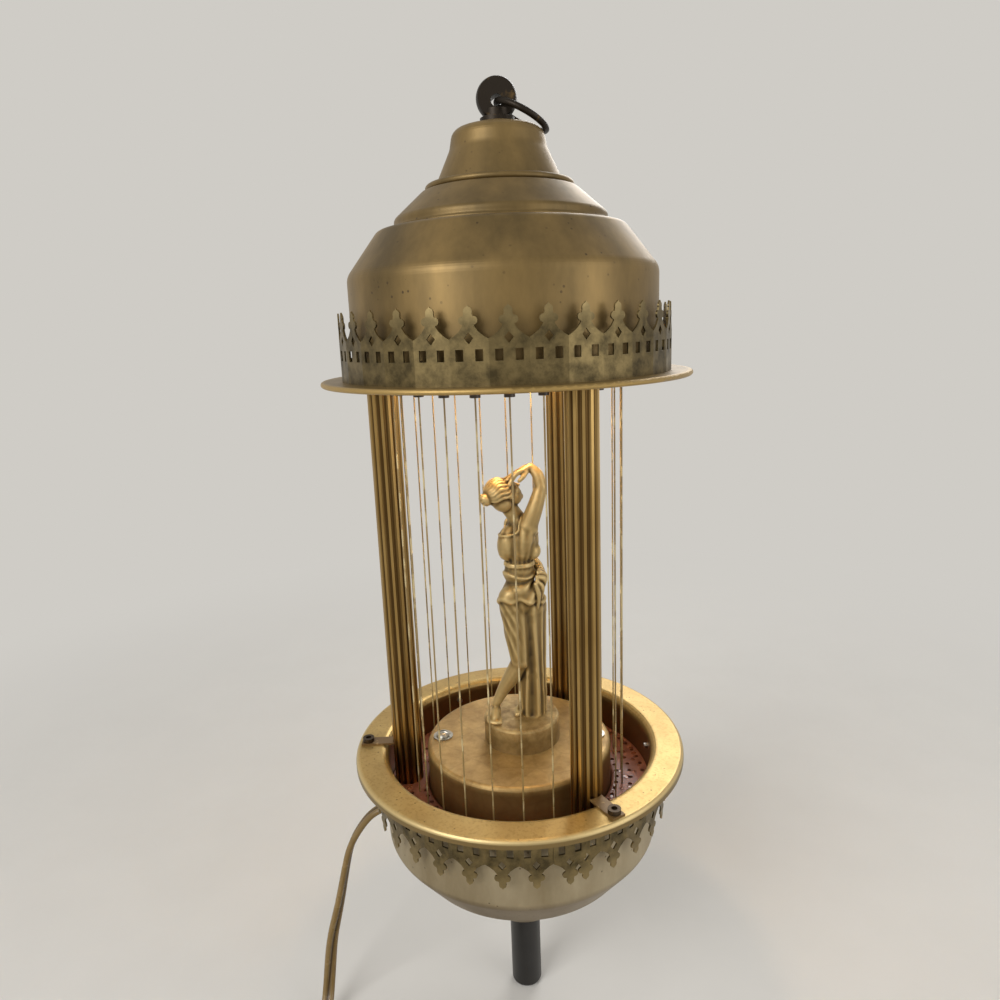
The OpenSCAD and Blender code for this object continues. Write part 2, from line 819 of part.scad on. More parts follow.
module figure_parts() {
    // Head with hair gathered behind
    blob([-3, -1, 124], [7.6, 7.2, 9.6], [0, -28, 0]);
    blob([-8, 1, 125], [7, 7.4, 6.4], [0, -20, 0]);
    blob([-12.5, 1.5, 124.5], [3.2, 3.6, 3.6]);
    limb([0, 0, 118], 4.1, [4, 0, 110], 4.6);
    // Torso under a close tunic
    limb([8, -5, 107], 5.2, [2, 8, 106], 5.2);
    blob([4, 0, 99], [10, 9.4, 12], [0, 6, 0]);
    blob([8.5, -2, 94], [7, 9, 7]);
    blob([3.6, 0, 83], [8, 8.2, 12]);
    blob([3.4, 0, 66], [11, 11, 14]);
    blob([3, 0, 74], [9.8, 10.2, 4]);
    // Raised arm: shoulder, elbow, hand on the head
    limb([9, -6, 108], 4.6, [14.5, -5, 126], 3.8);
    limb([14.5, -5, 127], 3.7, [7, -2, 137], 2.9);
    limb([7, -2, 137], 2.8, [0.5, -1.5, 134.5], 2.5);
    // Lowered arm with the forearm across the waist
    limb([0, 10, 105], 4.4, [8, 12, 88], 3.8);
    limb([8, 12, 87], 3.7, [15, 2, 79], 2.9);
    limb([15, 2, 79], 2.9, [12, -5, 77], 2.5);
    // Standing leg inside the long fall of cloth
    limb([7.5, 2, 58], 9, [8.4, 1, 3], 7.6);
    limb([11, -5, 66], 4.4, [12.6, -4, 2], 3);
    limb([4.6, -6.5, 64], 4.2, [5.6, -6, 2], 2.8);
    limb([3, 6, 62], 4.8, [3.6, 6.4, 2], 3.2);
    limb([12, 5, 64], 4.6, [14, 4.4, 2], 3);
    // Bent leg with the foot set to the side
    limb([-1, -3, 62], 8.4, [-1, -6, 34], 6);
    limb([-1, -6, 33], 5.4, [-12.5, -3, 8], 3.2);
    limb([-12.4, -3.4, 3], 2.8, [-14.5, -10, 1.6], 2.2);
}

module figure() {
    color("#8d7a42") hung() translate([plinth_x - 2, 0, plinth_z]) intersection() {
        scale(figure_h / figure_drawn_h) figure_parts();
        translate([-figure_room, -figure_room, 0]) cube([2 * figure_room, 2 * figure_room, 2 * figure_h]);
    }
}

// Gear pump on the basin floor, in a frame that points at the oil riser

pitch_r = gear_m * gear_teeth / 2;
gear_out_r = pitch_r + gear_m;
gear_root_r = pitch_r - 1.25 * gear_m;
gear_base_r = pitch_r * cos(20);
gear_centres = 2 * pitch_r + 0.1;
gear_slack = 0.6;
flank_steps = 4;
gear_end_gap = 0.2;
drive_x = -gear_centres / 2;
idler_x = gear_centres / 2;
cavity_r = gear_out_r + 0.15;
pump_wall = 3.9;
pump_r = cavity_r + pump_wall;
pump_floor_t = 1.5;
cavity_h = gear_h + 2 * gear_end_gap;
pump_cover_t = 3;
pump_screw_r = 1.1;
pump_screw_circle = cavity_r + pump_wall / 2;
shaft_r = shaft_d / 2;
hose_r = 2.6;
hose_bore_r = 1.5;
hose_z = floor_z + pump_floor_t + 2;
cavity_z = floor_z + pump_floor_t;
gear_z = cavity_z + gear_end_gap;

function involute(r) = let (a = acos(gear_base_r / r)) tan(a) * 180 / PI - a;
function flank(r) = (90 / gear_teeth - gear_slack / 2) + involute(pitch_r) - involute(r);
flank_radii = [
    for (i = [0:flank_steps])
        gear_base_r + 0.01 + (gear_out_r - gear_base_r - 0.01) * i / flank_steps
];
function tooth(centre) = concat(
    [gear_root_r * [cos(centre - flank(flank_radii[0])), sin(centre - flank(flank_radii[0]))]],
    [for (r = flank_radii) r * [cos(centre - flank(r)), sin(centre - flank(r))]],
    [for (r = reversed(flank_radii)) r * [cos(centre + flank(r)), sin(centre + flank(r))]],
    [gear_root_r * [cos(centre + flank(flank_radii[0])), sin(centre + flank(flank_radii[0]))]]
);

module gear(bore_r, turn) {
    difference() {
        rotate([0, 0, turn]) linear_extrude(gear_h)
            polygon([for (k = [0:gear_teeth - 1]) each tooth(k * 360 / gear_teeth)]);
        translate([0, 0, -1]) cylinder(r = bore_r, h = gear_h + 2);
    }
}

module pump_outline(h) {
    for (x = [drive_x, idler_x])
        translate([x, 0, 0]) cylinder(r = pump_r, h = h);
    translate([drive_x, -pump_r, 0]) cube([gear_centres, 2 * pump_r, h]);
}

module pump_screw_places() {
    for (x = [drive_x, idler_x], side = [-1, 1])
        translate([x, 0, 0]) rotate([0, 0, (x < 0 ? 180 : 0) + side * 40]) translate([pump_screw_circle, 0, 0])
            children();
}

module pump_housing() {
    color("#c9c2a4") hung() works() translate([0, 0, floor_z]) difference() {
        pump_outline(pump_floor_t + cavity_h);
        for (x = [drive_x, idler_x])
            translate([x, 0, pump_floor_t]) cylinder(r = cavity_r, h = cavity_h + 1);
        translate([drive_x, 0, -1]) cylinder(r = shaft_r + fit_clear, h = 4);
        translate([idler_x, 0, -1]) cylinder(r = shaft_r + run_clear, h = 4);
        translate([0, 0, hose_z - floor_z]) rotate([-90, 0, 0]) cylinder(r = hose_bore_r, h = 2 * pump_r);
        translate([0, 0, hose_z - floor_z]) rotate([90, 0, 0]) cylinder(r = hose_bore_r, h = 2 * pump_r);
        pump_screw_places() translate([0, 0, pump_floor_t + 2]) cylinder(r = pump_screw_r + fit_clear, h = cavity_h);
    }
}

module pump_cover() {
    color("#c9c2a4") hung() works() translate([0, 0, cavity_z + cavity_h]) difference() {
        pump_outline(pump_cover_t);
        pump_screw_places() translate([0, 0, -1]) cylinder(r = pump_screw_r + fit_clear, h = pump_cover_t + 2);
        translate([drive_x, 0, -1]) cylinder(r = shaft_r + run_clear, h = pump_cover_t);
    }
}

module pump_screws() {
    color("#9a9a96") hung() works() translate([0, 0, cavity_z + cavity_h]) pump_screw_places() {
        translate([0, 0, pump_cover_t]) cylinder(r = 2 * pump_screw_r, h = 1.4);
        translate([0, 0, 2.5 - cavity_h]) cylinder(r = pump_screw_r, h = cavity_h + pump_cover_t - 2);
    }
}

module pump_drive_gear() {
    color("#e4e0d2") hung() works() translate([drive_x, 0, gear_z]) gear(shaft_r, 0);
}

module pump_idler_gear() {
    color("#e4e0d2") hung() works() translate([idler_x, 0, gear_z]) gear(shaft_r + run_clear, 180 / gear_teeth);
}

module idler_pin() {
    color("#9a9a96") hung() works() translate([idler_x, 0, floor_z])
        cylinder(r = shaft_r, h = pump_floor_t + cavity_h);
}

module outlet_tube() {
    from = pump_r;
    to = column_circle_r - tie_r - fit_clear;
    color("#b59a55") hung() works() translate([0, from, hose_z]) rotate([-90, 0, 0])
        tube(hose_r, hose_bore_r, to - from);
}

// Shaded-pole motor under the basin floor

seal_flange_r = 7;
seal_flange_t = 2;
bridge_t = 2;
bridge_gap = 3;
spacer_h = 4;
rod_r = 2;
rod_x = drive_x - 12;
rod_y = 16;
rod_boss_r = 4;
rod_nut_across = 7;
rod_nut_h = 3.2;
bore_gap = 0.4;
upper_bridge_z = floor_z - sheet_t - spacer_h - bridge_t;
stack_z = upper_bridge_z - bridge_gap - stack_h;
lower_bridge_z = stack_z - bridge_gap - bridge_t;
stack_half = 22;
stack_back = drive_x - 18;
window_x = drive_x + rotor_d / 2 + 3;
limb_x = window_x + 11;
limb_w = 12;
limb_half = 13;
coil_pad = 7;

module rod_places() {
    for (side = [-1, 1])
        translate([rod_x, side * rod_y, 0]) children();
}

module shaft_seal() {
    color("#3a3a38") hung() works() translate([drive_x, 0, floor_z - sheet_t - seal_flange_t]) difference() {
        union() {
            cylinder(r = seal_flange_r, h = seal_flange_t);
            cylinder(r = seal_r, h = seal_flange_t + sheet_t);
        }
        translate([0, 0, -1]) cylinder(r = shaft_r + run_clear, h = seal_flange_t + sheet_t + 2);
    }
}

module motor_stator() {
    color("#77787a") hung() works() translate([0, 0, stack_z]) difference() {
        translate([stack_back, -stack_half, 0]) cube([limb_x + limb_w - stack_back, 2 * stack_half, stack_h]);
        translate([drive_x, 0, -1]) cylinder(r = rotor_d / 2 + bore_gap, h = stack_h + 2);
        translate([window_x, -limb_half, -1]) cube([limb_x - window_x, 2 * limb_half, stack_h + 2]);
        rod_places() translate([0, 0, -1]) cylinder(r = rod_r + fit_clear, h = stack_h + 2);
    }
}

module motor_coil() {
    color("#8a4a2a") hung() works() translate([0, 0, stack_z]) difference() {
        translate([limb_x - coil_pad, 0.5 - limb_half, -coil_pad])
            cube([limb_w + 2 * coil_pad, 2 * limb_half - 1, stack_h + 2 * coil_pad]);
        translate([limb_x - fit_clear, -limb_half - 1, -fit_clear])
            cube([limb_w + 2 * fit_clear, 2 * limb_half + 2, stack_h + 2 * fit_clear]);
    }
}

module bridge(boss_z) {
    difference() {
        union() {
            translate([rod_x - rod_boss_r, -rod_y - rod_boss_r, 0])
                cube([drive_x - rod_x + rod_boss_r + 6, 2 * (rod_y + rod_boss_r), bridge_t]);
            translate([drive_x, 0, boss_z]) cylinder(r = 5, h = bridge_t + 1);
        }
        translate([drive_x, 0, -4]) cylinder(r = shaft_r + run_clear, h = 12);
        rod_places() translate([0, 0, -1]) cylinder(r = rod_r + fit_clear, h = bridge_t + 2);
    }
}

module motor_bridge_upper() {
    color("#a7a59c") hung() works() translate([0, 0, upper_bridge_z]) union() {
        bridge(-1);
        rod_places() translate([0, 0, -bridge_gap]) tube(rod_boss_r, rod_r + fit_clear, bridge_gap);
        rod_places() translate([0, 0, bridge_t]) tube(rod_boss_r, rod_r + fit_clear, spacer_h);
    }
}

module motor_bridge_lower() {
    color("#a7a59c") hung() works() translate([0, 0, lower_bridge_z]) union() {
        bridge(0);
        rod_places() translate([0, 0, bridge_t]) tube(rod_boss_r, rod_r + fit_clear, bridge_gap);
    }
}

module motor_rods() {
    color("#9a9a96") hung() works() rod_places() {
        translate([0, 0, lower_bridge_z - rod_nut_h - 0.8])
            cylinder(r = rod_r, h = floor_z - lower_bridge_z + 2 * rod_nut_h + 1.6);
        translate([0, 0, floor_z]) hex_nut(rod_nut_across, rod_r + fit_clear, rod_nut_h);
        translate([0, 0, lower_bridge_z - rod_nut_h]) hex_nut(rod_nut_across, rod_r + fit_clear, rod_nut_h);
    }
}

module motor_shaft() {
    shaft_low_z = lower_bridge_z - 2;
    color("#b9babb") hung() works() translate([drive_x, 0, shaft_low_z])
        cylinder(r = shaft_r, h = cavity_z + cavity_h + pump_cover_t - 2 - shaft_low_z);
}

module motor_rotor() {
    color("#8b8c8e") hung() works() translate([drive_x, 0, stack_z])
        tube(rotor_d / 2, shaft_r, stack_h);
}

// Bowl shell, turn switch and knob

boss_r = 13;
dish_mid_r = 34;
dish_mid_h = 19;
dish_low_r = 21;
boss_h = 4;
switch_bush_r = 5;
switch_nut_across = 12;
switch_nut_h = 2.5;
switch_body_h = 18;
switch_side_gap = 0.5;

module bowl_shell() {
    color("#b7a064") hung() difference() {
        translate([0, 0, bowl_rim_z]) mirror([0, 0, 1]) spun(concat(shell_corners, [
            [dome_r + cap_rim_w, shoulder_h, 2],
            [dome_r, shoulder_h + dome_foot_h, dome_bend_r],
            [dish_mid_r, shoulder_h + dish_mid_h, dome_bend_r],
            [dish_low_r, shoulder_h + dish_h - boss_h, 2],
            [boss_r, shoulder_h + dish_h - boss_h, 1.4],
            [boss_r, shoulder_h + dish_h, 1.4],
            [switch_bush_r + fit_clear, shoulder_h + dish_h]
        ]));
        shell_screw_holes(-shell_screw_h - 2 * sheet_t);
        cord_hole();
    }
}

module switch_body() {
    color("#26221f") hung() translate([0, 0, bowl_bottom_z]) difference() {
        union() {
            translate([0, 0, sheet_t]) cylinder(r = boss_r - sheet_t - switch_side_gap - 1.4, h = switch_body_h);
            translate([0, 0, -switch_nut_h - 0.5]) cylinder(r = switch_bush_r, h = switch_nut_h + 2);
        }
        translate([0, 0, -switch_nut_h - 2]) cylinder(r = switch_shaft_d / 2 + run_clear, h = switch_body_h - 2);
    }
}

module switch_nut() {
    color("#b59a55") hung() translate([0, 0, bowl_bottom_z - switch_nut_h])
        hex_nut(switch_nut_across, switch_bush_r + fit_clear, switch_nut_h);
}

knob_r = knob_d / 2;
knob_gap = 0.3;
knob_end_bend_r = 2.4;
knob_top_z = bowl_bottom_z - knob_gap;
knob_recess_h = switch_nut_h + 1;
knob_recess_r = switch_nut_across / 2 / cos(30) + 0.4;
knob_grip = 14;

module switch_shaft() {
    shaft_top_z = bowl_bottom_z + switch_body_h - switch_nut_h - 5;
    shaft_low_z = knob_top_z - knob_recess_h - knob_grip;
    color("#b59a55") hung() translate([0, 0, shaft_low_z])
        cylinder(d = switch_shaft_d, h = shaft_top_z - shaft_low_z);
}

module switch_knob() {
    color("#141312") hung() translate([0, 0, knob_top_z]) difference() {
        rotate_extrude() polygon(rounded([
            [0, 0], [knob_r, 0, 0.6], [knob_r, -knob_h, knob_end_bend_r], [0, -knob_h]
        ]));
        translate([0, 0, -knob_recess_h]) cylinder(r = knob_recess_r, h = knob_recess_h + 1);
        translate([0, 0, -knob_recess_h - knob_grip]) cylinder(d = switch_shaft_d, h = knob_grip + 1);
    }
}

// Cord: bushing, free lead, coil, tail and plug; the coil lies at the level of the knob's end

cord_angle = 183;
cord_exit_z = -38;
bushing_r = 4.8;
bushing_neck_r = 3.6;
bushing_out = 3.2;
bushing_in = 4;
rest_z = -159.6;
tie_t = 1;
tie_w = 5;
lay_z = rest_z + tie_t + 0.2 + cord_w / 2;
coil_centre = [-70, -98];
coil_pitch = cord_t + coil_gap;
coil_layer = cord_w + coil_gap;
coil_turns = 6;
coil_reverse = 3.25;
loop_rings = 24;

// Route of the lead as [place, direction of the cord's width]
lead_route = [
    [[-77, -4.2, -38], [0, 1, 0]],
    [[-79, -4.3, -38], [0, 1, 0]],
    [[-84, -4.3, -41.2], [0, 1, 0]],
    [[-88.6, -4.3, -46.8], [0, 1, 0]],
    [[-97, -5, -60], [0.1, 1, 0]],
    [[-101.4, -7, -77], [0.3, 1, 0]],
    [[-106, -9, -97], [0.6, 1, 0]],
    [[-111, -11, -116], [1, 0.8, 0]],
    [[-114, -13.6, -138], [1, 0.3, 0]],
    [[-115, -19, -151], [1, 0, 0]],
    [[-115.6, -30, -156.4], [1, 0, 0.2]],
    [[-116, -50, -156.2], [0.7, 0, 0.7]],
    [[-116, -70, -155.2], [0.1, 0, 1]],
    [[-116, -84, -155], [0, 0, 1]],
    [[-116, -91, -155], [0, 0, 1]]
];
// Route of the tail from the coil's last turn down to the plug
tail_route = [
    [[-113.85, -105, -147.5], [0, 0, 1]],
    [[-113.85, -110, -147.5], [0, 0, 1]],
    [[-113.5, -124, -149.5], [0, 0, 1]],
    [[-108, -142, -152], [0, 0, 1]],
    [[-97, -154, -153], [0, 0.4, 1]],
    [[-86, -157, -153], [0, 1, 0.4]],
    [[-80, -157, -153], [0, 1, 0]],
    [[-76, -157, -153], [0, 1, 0]]
];
lead_steps = 3;
flat_half_w = cord_w / 2;
flat_half_t = cord_t / 2;
lead_section = [
    for (a = [22.5:45:337.5])
        [flat_half_w * sign(cos(a)) * sqrt(abs(cos(a))), flat_half_t * sign(sin(a)) * sqrt(abs(sin(a)))]
];
coil_section = [for (a = [0:60:300]) [flat_half_w * cos(a), flat_half_t * sin(a)]];

function along(a, b, c, d, t) =
    (2 * b + (c - a) * t + (2 * a - 5 * b + 4 * c - d) * t * t + (3 * b - a - 3 * c + d) * t * t * t) / 2;
function smooth(p, steps) = concat(
    [
        for (i = [0:len(p) - 2], k = [0:steps - 1])
            along(p[max(i - 1, 0)], p[i], p[i + 1], p[min(i + 2, len(p) - 1)], k / steps)
    ],
    [p[len(p) - 1]]
);
function heading(p, i) = unit(p[min(i + 1, len(p) - 1)] - p[max(i - 1, 0)]);
function across(wide, t) = unit(wide - (wide * t) * t);
function skin_points(line, wide, section) = [
    for (i = [0:len(line) - 1])
        let (t = heading(line, i), w = across(wide[i], t), n = cross(t, w))
        each [for (s = section) line[i] + s[0] * w + s[1] * n]
];
function skin_faces(rings, sides) = concat(
    [for (k = [1:sides - 2]) [0, k, k + 1]],
    [for (k = [1:sides - 2]) [(rings - 1) * sides, (rings - 1) * sides + k + 1, (rings - 1) * sides + k]],
    [
        for (i = [0:rings - 2], k = [0:sides - 1])
            let (a = i * sides + k, b = i * sides + (k + 1) % sides)
            each [[a, a + sides, b], [b, a + sides, b + sides]]
    ]
);

module swept(line, wide, section) {
    polyhedron(points = skin_points(line, wide, section), faces = skin_faces(len(line), len(section)));
}

module routed(route) {
    swept(smooth([for (r = route) r[0]], lead_steps), smooth([for (r = route) r[1]], lead_steps), lead_section);
}

// Coil: in along the lower layer, up a layer in the half turn where it reverses, out along the upper one
function coil_in(u) = u < coil_reverse ? u : 2 * coil_reverse - u;
function coil_up(u) = min(max((u - coil_reverse + 0.25) * 2, 0), 1);
function coil_at(u) = [
    coil_centre[0] + (coil_r - coil_pitch * coil_in(u)) * cos(180 + 360 * u),
    coil_centre[1] + (coil_r - coil_pitch * coil_in(u)) * sin(180 + 360 * u),
    lay_z + coil_layer * coil_up(u)
];
coil_end = [0, 7, 0];
coil_line = concat(
    [coil_at(0) + coil_end],
    [for (i = [0:coil_turns * loop_rings]) coil_at(i / loop_rings)],
    [coil_at(coil_turns) - coil_end]
);
coil_wide = [for (p = coil_line) [0, 0, 1]];
coil_skin = skin_points(coil_line, coil_wide, coil_section);
half_loop = 6 * loop_rings / 2;
coil_self_gap = min([
    for (i = [0:len(coil_skin) - 1 - half_loop])
        min([for (j = [i + half_loop:len(coil_skin) - 1]) norm(coil_skin[i] - coil_skin[j])])
]);

module cord_hole() {
    rotate([0, 0, cord_angle]) translate([shell_r - 6, 0, cord_exit_z]) rotate([0, 90, 0])
        cylinder(r = bushing_neck_r + fit_clear, h = 12);
}

module cord_bushing() {
    color("#2a241f") hung() rotate([0, 0, cord_angle]) difference() {
        translate([shell_r, 0, cord_exit_z]) rotate([0, 90, 0]) union() {
            translate([0, 0, -bushing_in]) cylinder(r = bushing_neck_r, h = bushing_in + 1);
            translate([0, 0, -2]) cylinder(r = bushing_r, h = bushing_out + 2);
        }
        translate([0, 0, cord_exit_z - 10]) difference() {
            cylinder(r = shell_r, h = 20);
            translate([shell_r - 10, 0, 10]) rotate([0, 90, 0]) cylinder(r = bushing_neck_r, h = 20);
        }
    }
}

module cord_lead() {
    color("#8a6a3c") hung() routed(lead_route);
}

module cord_coil() {
    echo(coil_self_gap = coil_self_gap);
    color("#8a6a3c") hung() swept(coil_line, coil_wide, coil_section);
}

module cord_tail() {
    color("#8a6a3c") hung() routed(tail_route);
}

module cord_ties() {
    band_in_w = coil_pitch * coil_reverse + cord_t + 1.2;
    band_in_h = 2 * cord_w + coil_gap + 0.8;
    band_mid_r = coil_r - coil_pitch * coil_reverse / 2;
    color("#1d1a17") hung() for (a = [60, -60])
        translate([coil_centre[0], coil_centre[1], 0]) rotate([0, 0, a])
            translate([band_mid_r, tie_w / 2, rest_z]) rotate([90, 0, 0]) linear_extrude(tie_w) difference() {
                translate([-band_in_w / 2 - tie_t, 0]) square([band_in_w + 2 * tie_t, band_in_h + 2 * tie_t]);
                translate([-band_in_w / 2, tie_t]) square([band_in_w, band_in_h]);
            }
}

plug_l = 30;
plug_w = 24;
plug_h = 13;
plug_neck_l = 8;
blade_l = 17;
blade_w = 6.3;
blade_t = 1.5;
blade_pitch = 12.7;
plug_at = [-76, -157, -153];

module plug_body() {
    color("#8a6a3c") hung() translate(plug_at) difference() {
        union() {
            translate([0, -5, -5]) cube([plug_neck_l + 1, 10, 10]);
            translate([plug_neck_l, -plug_w / 2, -plug_h / 2]) cube([plug_l - plug_neck_l, plug_w, plug_h]);
        }
        blades(fit_clear);
    }
}

module blades(grow) {
    for (side = [-1, 1])
        translate([plug_l - 6, side * blade_pitch / 2 - blade_t / 2 - grow, -blade_w / 2 - grow])
            cube([blade_l + 6, blade_t + 2 * grow, blade_w + 2 * grow]);
}

module plug_blades() {
    color("#c8b070") hung() translate(plug_at) blades(0);
}

hanging_ring();
finial_loop();
lamp_pipe();
pipe_nuts();
bell_cap();
dome_cap();
canopy_shell();
shell_screws();
crown_gallery();
brim_plate();
oil_tray();
drip_nozzles();
rain_lines();
lamp_socket();
bulb_base();
bulb_glass();
column_left();
column_right();
column_back();
tie_pipes();
oil_riser();
tie_nuts();
column_straps();
flange_screws();
basin();
drip_plate();
pedestal_cover();
pedestal_posts();
pedestal_screws();
plinth();
plinth_screw();
figure();
pump_housing();
pump_cover();
pump_screws();
pump_drive_gear();
pump_idler_gear();
idler_pin();
outlet_tube();
shaft_seal();
motor_stator();
motor_coil();
motor_bridge_upper();
motor_bridge_lower();
motor_rods();
motor_shaft();
motor_rotor();
bowl_shell();
bowl_gallery();
switch_body();
switch_nut();
switch_shaft();
switch_knob();
cord_bushing();
cord_lead();
cord_coil();
cord_tail();
cord_ties();
plug_body();
plug_blades();
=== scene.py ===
import math
from functools import partial

import bpy
import numpy as np
from mathutils import Matrix, Vector


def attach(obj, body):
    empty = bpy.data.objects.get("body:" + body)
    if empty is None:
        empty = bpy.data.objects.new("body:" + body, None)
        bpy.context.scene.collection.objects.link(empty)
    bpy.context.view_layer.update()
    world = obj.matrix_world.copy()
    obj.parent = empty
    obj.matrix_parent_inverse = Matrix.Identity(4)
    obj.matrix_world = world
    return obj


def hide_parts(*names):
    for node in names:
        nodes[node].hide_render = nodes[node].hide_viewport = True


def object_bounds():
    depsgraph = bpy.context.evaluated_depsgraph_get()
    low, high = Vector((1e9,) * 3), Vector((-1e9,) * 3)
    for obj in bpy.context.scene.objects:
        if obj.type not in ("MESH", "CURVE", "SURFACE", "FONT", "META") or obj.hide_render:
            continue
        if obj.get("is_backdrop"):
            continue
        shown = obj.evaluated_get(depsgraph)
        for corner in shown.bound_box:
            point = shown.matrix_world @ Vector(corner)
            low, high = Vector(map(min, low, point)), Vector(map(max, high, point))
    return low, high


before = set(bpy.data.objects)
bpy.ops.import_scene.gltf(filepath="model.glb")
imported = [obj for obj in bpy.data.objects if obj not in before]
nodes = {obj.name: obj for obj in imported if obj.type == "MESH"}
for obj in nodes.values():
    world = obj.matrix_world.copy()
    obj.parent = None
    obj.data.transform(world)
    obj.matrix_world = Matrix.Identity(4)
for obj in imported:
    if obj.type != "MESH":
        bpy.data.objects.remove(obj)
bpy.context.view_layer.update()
scene = bpy.context.scene
scene.view_settings.view_transform = "Standard"


# Camera: a phone held at arm's length, a little above the middle of the lamp,
# looking slightly down and turned a touch about its own axis.
pitch = math.radians(12.99)
yaw = math.radians(0.36)
roll = math.radians(-2.19)
ahead = Vector((math.sin(yaw) * math.cos(pitch), math.cos(yaw) * math.cos(pitch), -math.sin(pitch)))
level = Vector((math.cos(yaw), -math.sin(yaw), 0))
upright = level.cross(ahead)
rightward = math.cos(roll) * level + math.sin(roll) * upright
upward = math.cos(roll) * upright - math.sin(roll) * level
camera_at = Vector((-0.0078, -0.3814, -0.0994))
bpy.ops.object.camera_add(location=camera_at)
camera = bpy.context.object
camera.name = "photo_camera"
camera.data.sensor_width = 36
camera.data.lens = 27.372
camera.data.clip_start = 0.01
camera_turn = Matrix((rightward, upward, -ahead)).transposed().to_4x4()
camera.matrix_world = Matrix.Translation(camera_at) @ camera_turn
scene.camera = camera


# Mains cord: flat two-core lamp cord in clear brown PVC, 6.8 by 3.6 mm, moulded in one piece
# with a groove between the cores. It leaves the bowl through a bushing, runs down to the
# surface and is wound there into a coil that two bands hold, with the plug beside it.
EYE_ABOVE_FLANGE = 322


def place(x, y, z):
    """A point given in millimetres from the flange's top, in metres from the hanging eye."""
    return Vector((x, y, z - EYE_ABOVE_FLANGE)) / 1000


def srgb(code):
    """A colour written as sRGB hex, as the linear values that a shader takes."""
    parts = [int(code[i:i + 2], 16) / 255 for i in (1, 3, 5)]
    linear = [c / 12.92 if c <= 0.04045 else ((c + 0.055) / 1.055) ** 2.4 for c in parts]
    return (*linear, 1)


def new_finish(name):
    """An empty material, its shader, the object's own coordinates, and what adds a node to it."""
    material = bpy.data.materials.new(name)
    material.use_nodes = True
    coords = add(material, "TexCoord").outputs["Object"]
    return material, material.node_tree.nodes["Principled BSDF"], coords, partial(add, material)


def add(material, kind, settings=None, links=None):
    """Adds a node, or takes one that is there, and sets its inputs, its properties and its links.

    A colour is written as hex, and a link from a node takes its first output that is in use.
    """
    tree = material.node_tree
    made = kind if isinstance(kind, bpy.types.Node) else tree.nodes.new("ShaderNode" + kind)
    for name, value in (settings or {}).items():
        if isinstance(value, str) and value.startswith("#"):
            value = srgb(value)
        if isinstance(name, int) or name in made.inputs:
            made.inputs[name].default_value = value
        else:
            setattr(made, name, value)
    for name, source in (links or {}).items():
        if isinstance(source, bpy.types.Node):
            source = next(output for output in source.outputs if output.enabled)
        tree.links.new(source, made.inputs[name])
    return made


lead_route = [
    ((-77, -4.2, -38), (0, 1, 0)),
    ((-79, -4.3, -38), (0, 1, 0)),
    ((-84, -4.3, -41.2), (0, 1, 0)),
    ((-88.6, -4.3, -46.8), (0, 1, 0)),
    ((-97, -5, -60), (0.1, 1, 0)),
    ((-101.4, -7, -77), (0.3, 1, 0)),
    ((-106, -9, -97), (0.6, 1, 0)),
    ((-111, -11, -116), (1, 0.8, 0)),
    ((-114, -13.6, -138), (1, 0.3, 0)),
    ((-115, -19, -151), (1, 0, 0)),
    ((-115.6, -30, -156.4), (1, 0, 0.2)),
    ((-116, -50, -156.2), (0.7, 0, 0.7)),
    ((-116, -70, -155.2), (0.1, 0, 1)),
    ((-116, -84, -155), (0, 0, 1)),
    ((-116, -91, -155), (0, 0, 1)),
]
tail_route = [
    ((-113.85, -105, -147.5), (0, 0, 1)),
    ((-113.85, -110, -147.5), (0, 0, 1)),
    ((-113.5, -124, -149.5), (0, 0, 1)),
    ((-108, -142, -152), (0, 0, 1)),
    ((-97, -154, -153), (0, 0.4, 1)),
    ((-86, -157, -153), (0, 1, 0.4)),
    ((-80, -157, -153), (0, 1, 0)),
    ((-76, -157, -153), (0, 1, 0)),
]
# The coil winds inwards for 3.25 turns and then outwards on top of them, 4.3 mm from turn to turn
coil_centre = (-70, -98, -155)
coil_radius = 46
coil_pitch = 4.3
coil_layer = 7.5
coil_turns = 6
coil_reverse = 3.25
coil_steps = 72
cord_step = 2
stiff_rounds = 14
route_steps = 6


def smooth(points, steps):
    """A smooth line through the points of a route."""
    line = []
    for i in range(len(points) - 1):
        a, b = points[max(i - 1, 0)], points[i]
        c, d = points[i + 1], points[min(i + 2, len(points) - 1)]
        for k in range(steps):
            t = k / steps
            line.append((2 * b + (c - a) * t + (2 * a - 5 * b + 4 * c - d) * t * t
                         + (3 * b - a - 3 * c + d) * t * t * t) / 2)
    return line + [points[-1]]


def coil_point(u):
    """The coil's middle line after u turns: inwards below, up a layer, outwards above."""
    inward = u if u < coil_reverse else 2 * coil_reverse - u
    layer = min(max((u - coil_reverse + 0.25) * 2, 0), 1)
    layer = layer * layer * (3 - 2 * layer)
    radius = coil_radius - coil_pitch * inward
    turn = math.radians(180 + 360 * u)
    round_middle = Vector((radius * math.cos(turn), radius * math.sin(turn), coil_layer * layer))
    return Vector(coil_centre) + round_middle


def lay_out(route):
    """Middle line and width directions in even steps along a route, bends eased by under 1 mm."""
    line = np.array(smooth([Vector(p) for p, _ in route], route_steps))
    wide = np.array(smooth([Vector(w) for _, w in route], route_steps))
    run = np.concatenate(([0], np.cumsum(np.linalg.norm(np.diff(line, axis=0), axis=1))))
    at = np.linspace(0, run[-1], round(run[-1] / cord_step) + 1)
    line, wide = [np.stack([np.interp(at, run, axis) for axis in part.T], axis=1) for part in (line, wide)]
    for _ in range(stiff_rounds):
        line[1:-1] = (line[:-2] + 2 * line[1:-1] + line[2:]) / 4
    return [Vector(p) for p in line], [Vector(w) for w in wide]


